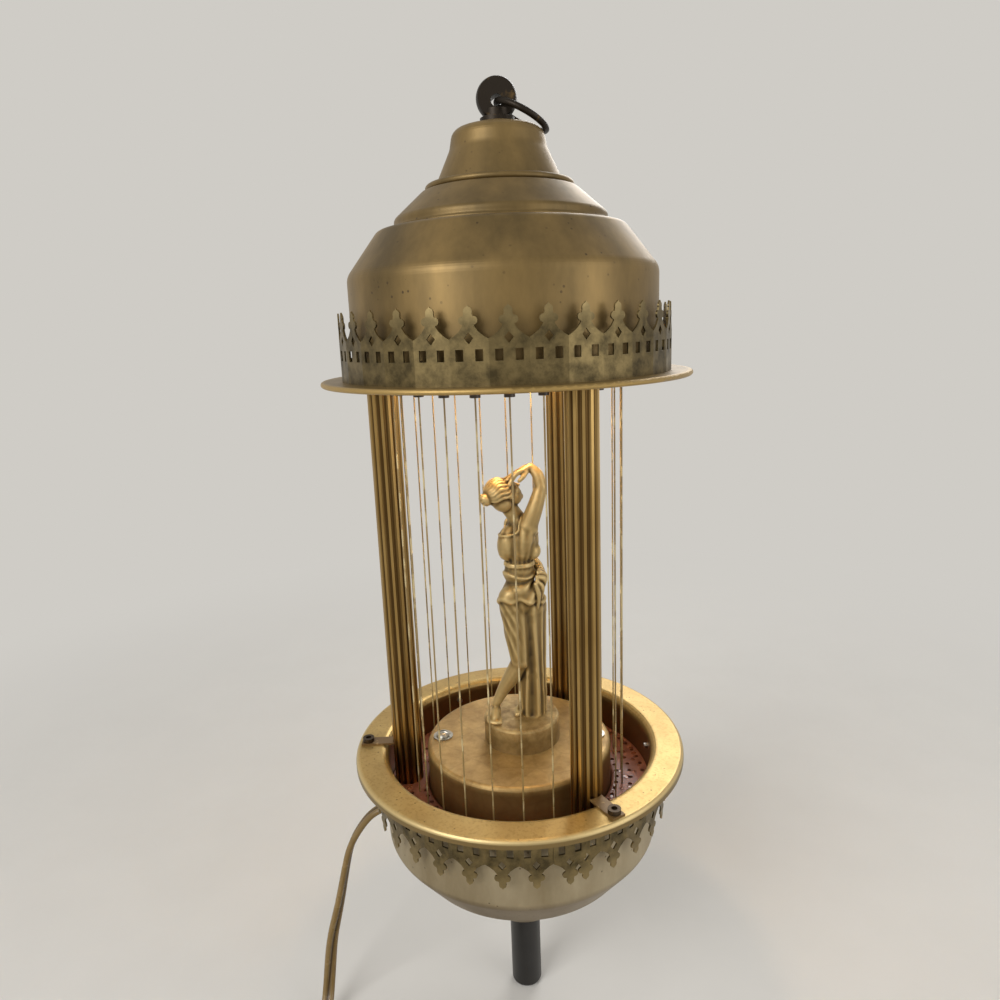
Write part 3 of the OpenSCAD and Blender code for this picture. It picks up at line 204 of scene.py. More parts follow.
cord_line, cord_wide = lay_out(lead_route)
for i in range(coil_turns * coil_steps + 1):
    cord_line.append(coil_point(i / coil_steps))
    cord_wide.append(Vector((0, 0, 1)))
tail_line, tail_wide = lay_out(tail_route)
cord_line += tail_line
cord_wide += tail_wide
cord_line = [place(*p) for p in cord_line]

# Section of the cord: two round cores side by side with a groove down each face of the web
core_r = 1.8
core_x = 1.6
web_half = 0.9
groove_reach = 1.3
core_points = 8
core = []
for k in range(core_points):
    turn = math.radians(-120 + 240 * k / (core_points - 1))
    core.append((core_x + core_r * math.cos(turn), core_r * math.sin(turn)))
cord_section = core + [(0, web_half)] + [(-x, -y) for x, y in core] + [(0, -web_half)]
points, groove = [], []
for i, middle in enumerate(cord_line):
    run = (cord_line[min(i + 1, len(cord_line) - 1)] - cord_line[max(i - 1, 0)]).normalized()
    wide = (cord_wide[i] - cord_wide[i].dot(run) * run).normalized()
    thick = run.cross(wide)
    for x, y in cord_section:
        points.append(middle + (wide * x + thick * y) / 1000)
        # How near each point lies to the groove, which sets the painted shade there
        groove.append(max(0, 1 - abs(x) / groove_reach))
sides = len(cord_section)
faces = [tuple(range(sides))[::-1], tuple(range(len(points) - sides, len(points)))]
for i in range(len(cord_line) - 1):
    for k in range(sides):
        a, b = i * sides + k, i * sides + (k + 1) % sides
        faces.append((a, b, b + sides, a + sides))
cord_mesh = bpy.data.meshes.new("mains_cord")
cord_mesh.from_pydata(points, [], faces)
cord_mesh.attributes.new("groove", "FLOAT", "POINT").data.foreach_set("value", groove)
cord_mesh.polygons.foreach_set("use_smooth", [True] * len(faces))
cord = bpy.data.objects.new("mains_cord", cord_mesh)
scene.collection.objects.link(cord)

# Extruded PVC: clear brown, so the copper shows faintly through the cores. Towards the groove
# between them the tone is darkened as painted shade in the crease
cord_pvc, shader, coords, node = new_finish("brown_clear_pvc")
# Waves of tone about 9 mm long, from the twist of the strands under the skin
strands = node("TexNoise", {"Scale": 1000 / 9, "Detail": 3}, {"Vector": coords})
web = node("Attribute", {"attribute_name": "groove"})
tone = node("Mix", {"data_type": "RGBA", 6: "#70592f", 7: "#977c4b"}, {0: strands})
# Painted shade: the tone turns near black-brown towards the groove, from 1.3 mm out to its middle
groove_shaded = node("Mix", {"data_type": "RGBA", 7: "#392813"}, {0: web.outputs["Fac"], 6: tone})
gloss = node("MapRange", {"To Min": 0.18, "To Max": 0.34}, {"Value": strands})
node(shader, {"IOR": 1.53, "Subsurface Weight": 0.12, "Subsurface Radius": (0.002, 0.0012, 0.0006)},
     {"Base Color": groove_shaded, "Roughness": gloss})
cord_mesh.materials.append(cord_pvc)
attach(cord, "lamp")
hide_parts("cord_lead", "cord_coil", "cord_tail")


# Coil bands: two loops of black rubber strip, 5 mm wide and 1 mm thick, vulcanised end to end and
# pushed over the wound cord to hold its turns together.
BAND_WIDE, BAND_ACROSS, BAND_TALL, BAND_THICK = 20.8, 5, 17.1, 1
BAND_FROM_MIDDLE = 0.039
BAND_CORNER, BAND_EDGE = 0.0035, 0.0003
coil_middle = place(*coil_centre[:2], -151.05)
bpy.ops.object.select_all(action="DESELECT")
bpy.ops.mesh.primitive_cube_add(size=0.001, location=(0, 0, 0))
bands = bpy.context.object
bands.name = "coil_bands"
bands.scale = (BAND_WIDE, BAND_ACROSS, BAND_TALL)
bpy.ops.object.transform_apply(location=True, rotation=True, scale=True)
bpy.ops.object.mode_set(mode="EDIT")
bpy.ops.mesh.select_mode(type="FACE")
bpy.ops.mesh.select_all(action="DESELECT")
bpy.ops.object.mode_set(mode="OBJECT")
for face in bands.data.polygons:
    face.select = abs(face.normal.y) > 0.9
bpy.ops.object.mode_set(mode="EDIT")
bpy.ops.mesh.delete(type="ONLY_FACE")
bpy.ops.object.mode_set(mode="OBJECT")


def soften_edges(piece, width, segments, wall=0):
    """Rounds a piece's sharp edges, after its wall is given a thickness where it has one."""
    steps = []
    if wall:
        steps.append(piece.modifiers.new("wall", "SOLIDIFY"))
        steps[-1].thickness = wall
    steps.append(piece.modifiers.new("edges", "BEVEL"))
    steps[-1].width = width
    steps[-1].segments = segments
    steps[-1].limit_method = "ANGLE"
    for step in steps:
        bpy.ops.object.modifier_apply(modifier=step.name)


soften_edges(bands, BAND_CORNER, 6)
soften_edges(bands, BAND_EDGE, 2, wall=BAND_THICK / 1000)
second = bands.copy()
second.data = bands.data.copy()
scene.collection.objects.link(second)
for band, turn in ((bands, 60), (second, -60)):
    about = Matrix.Rotation(math.radians(turn), 4, "Z")
    out = Matrix.Translation((BAND_FROM_MIDDLE, 0, 0))
    band.data.transform(Matrix.Translation(coil_middle) @ about @ out)
second.select_set(True)
bpy.ops.object.join()
bpy.ops.object.shade_smooth_by_angle(angle=math.radians(40))


def clouded(name, size, detail, tones, roughness, settings):
    """A finish whose tone and gloss follow one noise, in clouds of a size in mm."""
    material, shader, coords, node = new_finish(name)
    cloud = node("TexNoise", {"Scale": 1000 / size, "Detail": detail}, {"Vector": coords})
    tone = node("Mix", {"data_type": "RGBA", 6: tones[0], 7: tones[1]}, {0: cloud})
    gloss = node("MapRange", {"To Min": roughness[0], "To Max": roughness[1]}, {"Value": cloud})
    node(shader, settings, {"Base Color": tone, "Roughness": gloss})
    return material, shader, coords, node


# Black rubber: matt, with a grey bloom
rubber, *_ = clouded("bloomed_black_rubber", 4, 5, ("#161514", "#3b3936"), (0.5, 0.75), {"IOR": 1.52})
bands.data.materials.append(rubber)
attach(bands, "lamp")
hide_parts("cord_ties")


# Plug: a flat two-blade plug moulded on the cord in brown PVC, with a pull rim in front, a ribbed
# waist for the fingers and a ribbed boot that tapers down to the cord.
# Stations from the front face back to the cord: mm along the plug, width and height of its section.
# The waist has five grooves, 2.2 mm apart, and the boot four ribs, 3 mm apart.
plug_stations = [(29.2, 23.2, 12.2), (27.8, 24, 13), (23.4, 24, 13), (22, 22.6, 11.8)]
for k in range(5):
    back, less = 2.2 * k, 0.5 * k
    plug_stations += [(20.6 - back, 22.2 - less, 11.6), (20 - back, 21.2 - less, 10.8),
                      (19.2 - back, 21.2 - less, 10.8), (18.6 - back, 22 - less, 11.6)]
plug_stations += [(8.6, 18.6, 11), (7.4, 14, 9)]
for k in range(4):
    waist = (11 - 0.5 * k, 7.2 - 0.4 * k)
    rib = (12.2 - 0.7 * k, 8.4 - 0.6 * k)
    plug_stations += [(6.8 - 3 * k, *waist), (5.6 - 3 * k, *waist),
                      (5.2 - 3 * k, *rib), (4.4 - 3 * k, *rib)]
plug_at = place(-76, -157, -153)
plug_corner = 0.0035
front, wide, tall = 30, 21.6, 10.6
bpy.ops.object.select_all(action="DESELECT")
bpy.ops.mesh.primitive_plane_add(size=0.001, location=plug_at + Vector((front / 1000, 0, 0)),
                                 rotation=(0, math.radians(90), 0))
plug = bpy.context.object
plug.name = "moulded_plug"
plug.scale = (tall, wide, 1)
bpy.ops.object.transform_apply(location=True, rotation=True, scale=True)
bpy.ops.object.mode_set(mode="EDIT")
bpy.ops.mesh.select_all(action="SELECT")
bpy.ops.mesh.bevel(offset=plug_corner, segments=5, affect="VERTICES")
bpy.ops.mesh.select_all(action="SELECT")
at = front
for along, next_wide, next_tall in plug_stations:
    bpy.ops.mesh.extrude_region_move(TRANSFORM_OT_translate={"value": ((along - at) / 1000, 0, 0)})
    bpy.ops.transform.resize(value=(1, next_wide / wide, next_tall / tall),
                             center_override=plug_at + Vector((along / 1000, 0, 0)))
    at, wide, tall = along, next_wide, next_tall
bpy.ops.mesh.select_all(action="SELECT")
bpy.ops.mesh.normals_make_consistent(inside=False)
bpy.ops.object.mode_set(mode="OBJECT")
bpy.ops.object.shade_smooth_by_angle(angle=math.radians(28))


def roughen(material, shader, coords, size, detail, strength):
    """Raises a fine grain of a size in mm, up to 0.1 mm high."""
    grain = add(material, "TexNoise", {"Scale": 1000 / size, "Detail": detail}, {"Vector": coords})
    bump = add(material, "Bump", {"Strength": strength, "Distance": 0.0001}, {"Height": grain})
    add(material, shader, {}, {"Normal": bump})


# Moulded brown PVC: satin, a little dusty, with a fine moulding grain of 0.8 mm
moulded_pvc, shader, coords, _ = clouded("brown_moulded_pvc", 6, 5, ("#4f3a1d", "#7d6136"), (0.32, 0.55),
                                         {"IOR": 1.53})
roughen(moulded_pvc, shader, coords, 0.8, 2, 0.12)
plug.data.materials.append(moulded_pvc)
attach(plug, "lamp")
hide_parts("plug_body")


# Hanging ring and finial: a flattened cast ball on a foot, with an eye across it for a loose wire
# ring. Zinc casting and wire in dark bronze lacquer, screwed to the lamp pipe's top.


def dress(material, *names):
    """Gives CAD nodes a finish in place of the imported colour."""
    for name in names:
        nodes[name].data.materials.clear()
        nodes[name].data.materials.append(material)


def mottled(material, where, size, detail, roughness, spread, tones):
    """Two tones in clouds of a size in mm: the noise, the strength of its clouds and the tone."""
    cloud = add(material, "TexNoise", {"Scale": 1000 / size, "Detail": detail, "Roughness": roughness},
                {"Vector": where})
    strength = add(material, "MapRange", {"From Min": spread[0], "From Max": spread[1]},
                   {"Value": cloud})
    tone = add(material, "Mix", {"data_type": "RGBA", 6: tones[0], 7: tones[1]}, {0: strength})
    return cloud, strength, tone


# Bronze lacquer: nearly black, satin, and rubbed to brown where fingers and the ring touch it
bronze, shader, coords, node = new_finish("dark_bronze_lacquer")
# Cloudy tone about 5 mm across
cloud, _, tone = mottled(bronze, coords, 5, 4, 0.5, (0.58, 0.72), ("#2a231b", "#5c4829"))
gloss = node("MapRange", {"To Min": 0.34, "To Max": 0.56}, {"Value": cloud})
# Casting skin of about 0.6 mm
roughen(bronze, shader, coords, 0.6, 2, 0.15)
node(shader, {"Metallic": 0.75}, {"Base Color": tone, "Roughness": gloss})
dress(bronze, "hanging_ring", "finial_loop")


# Canopy: a bell cap, a dome cap and a deep shell, spun from steel sheet and stacked on the lamp
# pipe, with the brim plate under them. All are sprayed in antique gold, browned with a glaze, and darkened
# all over as painted shade.
# Antique gold spray: metal flake in lacquer, browned by a rubbed glaze, with fine dark spatter.
# Its tones are kept darker than the same gold on the bowl: painted shade over the whole canopy
shaded_canopy_gold, shader, coords, node = new_finish("antique_gold_spray")
around = node("Mapping", {"Scale": (1, 1, 0)}, {"Vector": coords})
radius = node("VectorMath", {"operation": "LENGTH"}, {0: around})
# The glaze lies in clouds about 30 mm wide, drawn out downwards by the rag
wiped = node("Mapping", {"Scale": (1, 1, 0.35)}, {"Vector": coords})
# Painted shade: both glaze tones are darker than the same gold paint on the bowl
cloud, _, tone = mottled(shaded_canopy_gold, wiped, 30, 6, 0.6, (0.3, 0.7), ("#5d4c2b", "#917747"))
# Spatter: dots under 1 mm, drawn a little coarser than they are
dots = node("TexVoronoi", {"Scale": 1000 / 4.5}, {"Vector": coords})
spatter = node("MapRange", {"From Min": 0.1, "From Max": 0.15, "To Min": 0.75, "To Max": 0},
               {"Value": dots})
sparse = node("TexNoise", {"Scale": 1000 / 22, "Detail": 1}, {"Vector": coords})
patch = node("MapRange", {"From Min": 0.48, "From Max": 0.62}, {"Value": sparse})
speck = node("Math", {"operation": "MULTIPLY"}, {0: spatter, 1: patch})
spotted = node("Mix", {"data_type": "RGBA", 7: "#33261a"}, {0: speck, 6: tone})
# The brim's edge, from 87 mm out, is rubbed back to bright gold
edge = node("MapRange", {"From Min": 0.0872, "From Max": 0.0899, "To Max": 0.7}, {"Value": radius})
worn = node("Mix", {"data_type": "RGBA", 7: "#b99a5c"}, {0: edge, 6: spotted})
gloss = node("MapRange", {"To Min": 0.52, "To Max": 0.36}, {"Value": cloud})
# Spray grain of about 0.8 mm
roughen(shaded_canopy_gold, shader, coords, 0.8, 2, 0.12)
node(shader, {"Metallic": 0.55}, {"Base Color": worn, "Roughness": gloss})
dress(shaded_canopy_gold, "bell_cap", "dome_cap", "canopy_shell", "brim_plate")


# Oil tray and light well: a spun trough on the brim plate, painted inside the canopy. It feeds the
# drip nozzles; the bulb shines down through its middle.
# Satin gold enamel, stained amber by the oil in clouds
tray_enamel, *_ = clouded("oil_stained_enamel", 14, 5, ("#6e5526", "#b29757"), (0.2, 0.5),
                          {"Metallic": 0.4})
dress(tray_enamel, "oil_tray")


# Drip nozzles and rain lines: 21 moulded nozzles press into the brim, and a nylon line runs from
# each, knotted above and below, down to the drip plate. Oil beads slide down the lines.
# Moulded nylon, dark brown and oily
nozzle_nylon, *_ = clouded("oily_brown_nylon", 2, 3, ("#2b2118", "#4a3826"), (0.25, 0.45), {"IOR": 1.53})
dress(nozzle_nylon, "drip_nozzles")
# Nylon monofilament: clear, a little amber, with beads of oil every 11 mm that are glossier and
# painted paler as a painted highlight
monofilament, shader, coords, node = new_finish("oiled_nylon_monofilament")
run = node("Mapping", {"Scale": (0.2, 0.2, 1)}, {"Vector": coords})
# Painted highlight: where the beads lie the tone turns pale gold
_, bead_gloss_and_glint, tone = mottled(monofilament, run, 11, 1, 0.5, (0.52, 0.6), ("#a98f5c", "#e0cd9b"))
gloss = node("MapRange", {"To Min": 0.3, "To Max": 0.08}, {"Value": bead_gloss_and_glint})
node(shader, {"IOR": 1.53, "Transmission Weight": 0.25}, {"Base Color": tone, "Roughness": gloss})
dress(monofilament, "rain_lines")


# Lamp pipe, socket and bulb: a brass pipe with nuts and a washer clamps the three caps and carries
# a phenolic screw socket. A frosted globe bulb hangs in it over the light well.
# Turned brass: lathe rings about 0.8 mm apart and a brown tarnish. A wave texture repeats once a
# metre at scale pi / 10
brass, shader, coords, node = clouded("turned_brass", 7, 5, ("#7d602c", "#bd9a53"), (0.48, 0.24),
                                      {"Metallic": 1.0})
lathe = node("TexWave", {"bands_direction": "Z", "Scale": 100 * math.pi / 0.8, "Distortion": 0.4},
             {"Vector": coords})
bump = node("Bump", {"Strength": 0.2, "Distance": 0.0001}, {"Height": lathe.outputs["Fac"]})
node(shader, {}, {"Normal": bump})
dress(brass, "lamp_pipe", "pipe_nuts", "tie_pipes", "oil_riser", "tie_nuts", "outlet_tube", "switch_nut",
      "switch_shaft", "bulb_base", "plug_blades")
# Phenolic moulding: brown-black, matt, with the wood flour showing as fine flecks
phenolic, *_ = clouded("brown_black_phenolic", 1.2, 4, ("#17130f", "#3a2c20"), (0.4, 0.6), {"IOR": 1.6})
dress(phenolic, "lamp_socket", "switch_body")
EYE = EYE_ABOVE_FLANGE / 1000
# Frosted soda glass, lit: an even warm glow that is a little weaker near the neck
frosted, shader, coords, node = new_finish("frosted_glass_lit")
powder = node("TexNoise", {"Scale": 1000 / 3, "Detail": 2}, {"Vector": coords})
gloss = node("MapRange", {"To Min": 0.5, "To Max": 0.65}, {"Value": powder})
parts = node("SeparateXYZ", {}, {0: coords})
glow = node("MapRange",
            {"From Min": 0.198 - EYE, "From Max": 0.236 - EYE, "To Min": 34.0, "To Max": 20.0},
            {"Value": parts.outputs["Z"]})
node(shader, {"Base Color": "#fff1da", "Emission Color": "#ffd7a1", "IOR": 1.52},
     {"Roughness": gloss, "Emission Strength": glow})
dress(frosted, "bulb_glass")


# Columns: three fluted tubes that slip over threaded tie pipes and space the brim above the basin.
# Extruded aluminium, anodised gold; a strap and a screw at each foot tie it to the flange.
# The straps lie where the columns cast their shadows on the flange, and their brown is a painted shadow.
COLUMN_CIRCLE = 0.0618
FLUTE_FLOOR, FLUTE_LAND = 0.0068, 0.0076
# Gold anodising: bright on the lands, with painted shade that darkens the flutes to brown, and fine lines
# along the draw
anodised, shader, coords, node = new_finish("gold_anodised_aluminium")
flat = node("Mapping", {"Scale": (1, 1, 0)}, {"Vector": coords})
near = []
for turn in (180, -60, 60):
    foot = (COLUMN_CIRCLE * math.cos(math.radians(turn)), COLUMN_CIRCLE * math.sin(math.radians(turn)), 0)
    near.append(node("VectorMath", {"operation": "DISTANCE", 1: foot}, {0: flat}))
pair = node("Math", {"operation": "MINIMUM"}, {0: near[0], 1: near[1]})
depth = node("Math", {"operation": "MINIMUM"}, {0: pair, 1: near[2]})
land = node("MapRange", {"From Min": FLUTE_FLOOR, "From Max": FLUTE_LAND}, {"Value": depth})
# Draw lines of about 0.5 mm that run the whole length
drawn = node("Mapping", {"Scale": (1, 1, 0.012)}, {"Vector": coords})
lines = node("TexNoise", {"Scale": 1000 / 0.5, "Detail": 3}, {"Vector": drawn})
age = node("TexNoise", {"Scale": 1000 / 26, "Detail": 4}, {"Vector": coords})
bright = node("Mix", {"data_type": "RGBA", 6: "#927340", 7: "#bd9f66"}, {0: age})
# Painted shade: from the land at 7.6 mm to the flute floor at 6.8 mm from a column's axis, the tone turns
# dark brown
fluted = node("Mix", {"data_type": "RGBA", 6: "#4f3a1e"}, {0: land, 7: bright})
gloss = node("MapRange", {"To Min": 0.22, "To Max": 0.42}, {"Value": lines})
bump = node("Bump", {"Strength": 0.1, "Distance": 0.00005}, {"Height": lines})
node(shader, {"Metallic": 1.0}, {"Base Color": fluted, "Roughness": gloss, "Normal": bump})
dress(anodised, "column_left", "column_right", "column_back")
# Strap steel in the basin's lacquer, toned dull gold brown as a painted shadow of the columns on the
# flange; chipped at the ends
strap_shadow_finish, shader, coords, node = new_finish("dull_gold_strap_painted_shadow")
chips, _, tone = mottled(strap_shadow_finish, coords, 2.5, 5, 0.5, (0.6, 0.66), ("#755a34", "#9c8054"))
gloss = node("MapRange", {"To Min": 0.35, "To Max": 0.55}, {"Value": chips})
node(shader, {"Metallic": 0.3}, {"Base Color": tone, "Roughness": gloss})
dress(strap_shadow_finish, "column_straps")
# Blacked steel: oiled black with brown bloom
blacked, *_ = clouded("blacked_steel", 1.6, 4, ("#1d1915", "#5c4b37"), (0.28, 0.5), {"Metallic": 0.85})
dress(blacked, "flange_screws")


# Basin: a spun bowl with a broad flat flange, turned down at its edge. Steel sheet, sprayed gold;
# the columns' tie pipes, the pump and the motor are bolted through its floor.
# Gold spray: bright on the flange, rubbed at its outer edge, brown and oily down the inner wall,
# with painted shade on the turned-down lip
basin_gold, shader, coords, node = new_finish("worn_gold_spray")
flat = node("Mapping", {"Scale": (1, 1, 0)}, {"Vector": coords})
radius = node("VectorMath", {"operation": "LENGTH"}, {0: flat})
parts = node("SeparateXYZ", {}, {0: coords})
cloud, glaze, tone = mottled(basin_gold, coords, 18, 6, 0.62, (0.15, 0.85), ("#a3854c", "#c6aa6c"))
# Sandy mottle of about 1.5 mm where the flake lies unevenly
flake = node("TexNoise", {"Scale": 1000 / 1.5, "Detail": 4}, {"Vector": coords})
thin = node("MapRange", {"From Min": 0.5, "From Max": 0.72, "To Max": 0.45}, {"Value": flake})
sandy = node("Mix", {"data_type": "RGBA", 7: "#8a6c37"}, {0: thin, 6: tone})
# Dark specks of dried oil and dust, 0.3 to 0.8 mm, drawn slightly coarse
dots = node("TexVoronoi", {"Scale": 1000 / 3.2}, {"Vector": coords})
speck = node("MapRange", {"From Min": 0.1, "From Max": 0.18, "To Min": 0.85, "To Max": 0},
             {"Value": dots})
sparse = node("TexNoise", {"Scale": 1000 / 9, "Detail": 2}, {"Vector": coords})
patch = node("MapRange", {"From Min": 0.46, "From Max": 0.6}, {"Value": sparse})
dirt = node("Math", {"operation": "MULTIPLY"}, {0: speck, 1: patch})
spotted = node("Mix", {"data_type": "RGBA", 7: "#3b2a15"}, {0: dirt, 6: sandy})
edge = node("MapRange", {"From Min": 0.0865, "From Max": 0.0888, "To Max": 0.75}, {"Value": radius})
rubbed = node("Mix", {"data_type": "RGBA", 7: "#e3cd98"}, {0: edge, 6: spotted})
# Painted shade: the lip below that edge, from 0.8 to 2 mm down, is darkened to olive brown
turned = node("MapRange", {"From Min": -0.0008 - EYE, "From Max": -0.002 - EYE, "To Max": 0.85},
              {"Value": parts.outputs["Z"]})
outer = node("MapRange", {"From Min": 0.086, "From Max": 0.087}, {"Value": radius})
lip = node("Math", {"operation": "MULTIPLY"}, {0: turned, 1: outer})
lip_shaded = node("Mix", {"data_type": "RGBA", 7: "#69532a"}, {0: lip, 6: rubbed})
# From 1 mm below the flange down to 6 mm the wall turns brown
inside = node("MapRange", {"From Min": -0.001 - EYE, "From Max": -0.006 - EYE},
              {"Value": parts.outputs["Z"]})
inner = node("MapRange", {"From Min": 0.0762, "From Max": 0.0742}, {"Value": radius})
wall = node("Math", {"operation": "MULTIPLY"}, {0: inside, 1: inner})
oiled = node("Mix", {"data_type": "RGBA", 6: "#57391c", 7: "#7a572e"}, {0: glaze})
whole = node("Mix", {"data_type": "RGBA"}, {0: wall, 6: lip_shaded, 7: oiled})
gloss = node("MapRange", {"To Min": 0.42, "To Max": 0.32}, {"Value": cloud})
roughen(basin_gold, shader, coords, 0.8, 2, 0.12)
node(shader, {"Metallic": 0.7}, {"Base Color": whole, "Roughness": gloss})
dress(basin_gold, "basin")


# Drip plate: a perforated ring between basin and pedestal that lets the oil back into the sump.
# Sheet steel in red-brown enamel, always wet.
# Red-brown enamel under standing drops of oil 2 to 4 mm wide
drip_enamel, shader, coords, node = new_finish("wet_red_brown_enamel")
cloud = node("TexNoise", {"Scale": 1000 / 8, "Detail": 5}, {"Vector": coords})
tone = node("Mix", {"data_type": "RGBA", 6: "#7a412e", 7: "#b37457"}, {0: cloud})
flat = node("Mapping", {"Scale": (1, 1, 0.1)}, {"Vector": coords})
cells = node("TexVoronoi", {"Scale": 1000 / 5, "Randomness": 1}, {"Vector": flat})
drops = node("MapRange", {"interpolation_type": "SMOOTHSTEP", "From Min": 0.38, "From Max": 0.2},
             {"Value": cells})
gloss = node("MapRange", {"To Min": 0.55, "To Max": 0.1}, {"Value": drops})
bump = node("Bump", {"Strength": 0.7, "Distance": 0.0006}, {"Height": drops})
node(shader, {"Coat Weight": 0.15, "Coat Roughness": 0.08},
     {"Base Color": tone, "Roughness": gloss, "Normal": bump})
dress(drip_enamel, "drip_plate")


# Pedestal: a drawn cover over the pump, with notches for the oil at its foot. It stands on two
# posts and is held by two domed screws; the figure's plinth is screwed on from below.


def shade_below(material, coords, tone, start, stop, most, colour):
    """A tone that turns to a colour between two heights, in metres above the flange."""
    parts = add(material, "SeparateXYZ", {}, {0: coords})
    low = add(material, "MapRange", {"From Min": start - EYE, "From Max": stop - EYE, "To Max": most},
              {"Value": parts.outputs["Z"]})
    return add(material, "Mix", {"data_type": "RGBA", 7: colour}, {0: low, 6: tone})


# Cracked gold lacquer: pale gold crazed by the bulb's heat on top, browner down the side
crazed, shader, coords, node = new_finish("crazed_gold_lacquer")
cloud, _, tone = mottled(crazed, coords, 12, 7, 0.65, (0.34, 0.66), ("#957643", "#bd9d63"))
# Crazing in plates of about 16 mm, bent out of straight by a fine noise
bent = node("Mix", {"data_type": "VECTOR", 0: 0.006}, {4: coords, 5: cloud.outputs["Color"]})
plates = node("TexVoronoi", {"feature": "DISTANCE_TO_EDGE", "Scale": 1000 / 16}, {"Vector": bent})
crack = node("MapRange", {"From Min": 0.012, "From Max": 0.05, "To Min": 0.13, "To Max": 0},
             {"Value": plates})
lined = node("Mix", {"data_type": "RGBA", 7: "#4a3216"}, {0: crack, 6: tone})
whole = shade_below(crazed, coords, lined, -0.0005, -0.004, 0.75, "#6a4821")
gloss = node("MapRange", {"To Min": 0.55, "To Max": 0.34}, {"Value": cloud})
bump = node("Bump", {"Strength": 0.3, "Distance": 0.0002, "invert": True}, {"Height": crack})
node(shader, {"Metallic": 0.5}, {"Base Color": whole, "Roughness": gloss, "Normal": bump})
dress(crazed, "pedestal_cover")
# Zinc-plated steel: cool grey with a soft spangle and yellowed patches
zinc, shader, coords, node = new_finish("zinc_plated_steel")
spangle = node("TexVoronoi", {"Scale": 1000 / 2.2}, {"Vector": coords})
haze = node("TexNoise", {"Scale": 1000 / 6, "Detail": 4}, {"Vector": coords})
tone = node("Mix", {"data_type": "RGBA", 6: "#8f8a7c", 7: "#cfcdc6"}, {0: haze})
gloss = node("MapRange", {"To Min": 0.2, "To Max": 0.42}, {"Value": spangle})
node(shader, {"Metallic": 1.0}, {"Base Color": tone, "Roughness": gloss})
dress(zinc, "pedestal_posts", "pedestal_screws", "plinth_screw", "pump_screws", "idler_pin",
      "motor_bridge_upper", "motor_bridge_lower", "motor_rods", "motor_shaft", "shell_screws")


# Figure: a draped figure of classical kind, one arm raised to its head, on a round plinth. Cast in
# resin filled with bronze powder, from a carved master; a screw from below holds the plinth.
PLINTH_TOP = 14
body_parts = []


def stand(x, y, z):
    """A point given in millimetres from the middle of the plinth's top."""
    return place(x, y, z + PLINTH_TOP)


def mass(middle, half, turn=(0, 0, 0)):
    """A rounded mass with its half axes, turned in degrees about x, y and z."""
    bpy.ops.mesh.primitive_uv_sphere_add(segments=28, ring_count=18, radius=0.001, location=stand(*middle),
                                         rotation=[math.radians(a) for a in turn])
    body_parts.append(bpy.context.object)
    body_parts[-1].scale = half


def strand(points, radii):
    """A round limb or strand through the points, as thick as the radii at its points."""
    line = smooth([stand(*p) for p in points], 5)
    curve = bpy.data.curves.new("strand", "CURVE")
    curve.dimensions = "3D"
    curve.bevel_depth = 0.001
    curve.bevel_resolution = 4
    curve.use_fill_caps = True
    path = curve.splines.new("POLY")
    path.points.add(len(line) - 1)
    for i, p in enumerate(line):
        at = i / (len(line) - 1) * (len(radii) - 1)
        low = min(int(at), len(radii) - 2)
        path.points[i].co = (*p, 1)
        path.points[i].radius = radii[low] + (radii[low + 1] - radii[low]) * (at - low)
    body_parts.append(bpy.data.objects.new("strand", curve))
    scene.collection.objects.link(body_parts[-1])
    for end, r in ((points[0], radii[0]), (points[-1], radii[-1])):
        mass(end, (r, r, r))


def fuse(name, voxel, rounds):
    """Joins the parts made so far, remeshes them into one skin and smooths it."""
    bpy.ops.object.select_all(action="DESELECT")
    for part in body_parts:
        part.select_set(True)
    bpy.context.view_layer.objects.active = body_parts[0]
    bpy.ops.object.convert(target="MESH")
    bpy.ops.object.join()
    skin = bpy.context.object
    skin.name = name
    bpy.ops.object.transform_apply(location=True, rotation=True, scale=True)
    remesh = skin.modifiers.new("skin", "REMESH")
    remesh.mode = "VOXEL"
    remesh.voxel_size = voxel
    soften = skin.modifiers.new("soften", "SMOOTH")
    soften.factor = 0.5
    soften.iterations = rounds
    bpy.ops.object.modifier_apply(modifier="skin")
    bpy.ops.object.modifier_apply(modifier="soften")
    body_parts.clear()
    body_parts.append(skin)
    return skin


# The body under its cloth: neck, shoulders, chest, waist, hips, and both legs
strand([(-1.2, -0.6, 117), (1.4, 0, 113), (4, 0.4, 108)], [4.4, 4.4, 5.4])
mass((6.4, -2.4, 108.6), (5.0, 4.6, 4.2))
strand([(9, -5.5, 106.6), (5.5, 1, 107.4), (1.6, 8, 106)], [4.6, 4.4, 4.6])
mass((4, 0, 98), (10.0, 9.2, 12.5), (0, 5, 0))
strand([(8.4, -5.2, 108), (6.6, -5.6, 101), (4.6, -4.6, 94)], [4.8, 4.9, 4.2])
mass((10.2, -2.4, 93.6), (4.6, 4.4, 4.8))
mass((7.4, 5.2, 93.6), (4.8, 4.4, 4.8))
mass((-2.4, -3.4, 98.4), (5.4, 5.8, 9.5), (0, 8, 0))
mass((3.4, 0, 83), (7.8, 7.8, 12))
mass((3.4, 0, 68), (9.4, 10, 12))
mass((-1, -4.2, 67), (6.2, 6.2, 8.5))
strand([(7.5, 2, 62), (8.0, 1.6, 32), (8.4, 1.2, 1)], [9.6, 8.2, 7.2])
strand([(-0.4, -2.6, 64), (0.8, -4.6, 48), (1.8, -5.8, 34)], [7.8, 6.5, 5.0])
strand([(1.6, -5.6, 33), (-2.2, -4.4, 25), (-7, -3.2, 17), (-11.6, -3, 8)], [4.6, 4.6, 3.6, 2.4])
strand([(-11.8, -2, 4), (-12, -5.6, 3.8), (-12.4, -9, 2.2)], [2.8, 3.0, 2.4])
strand([(-10.6, -8.6, 1.9), (-15, -7.8, 1.8)], [2.0, 1.8])
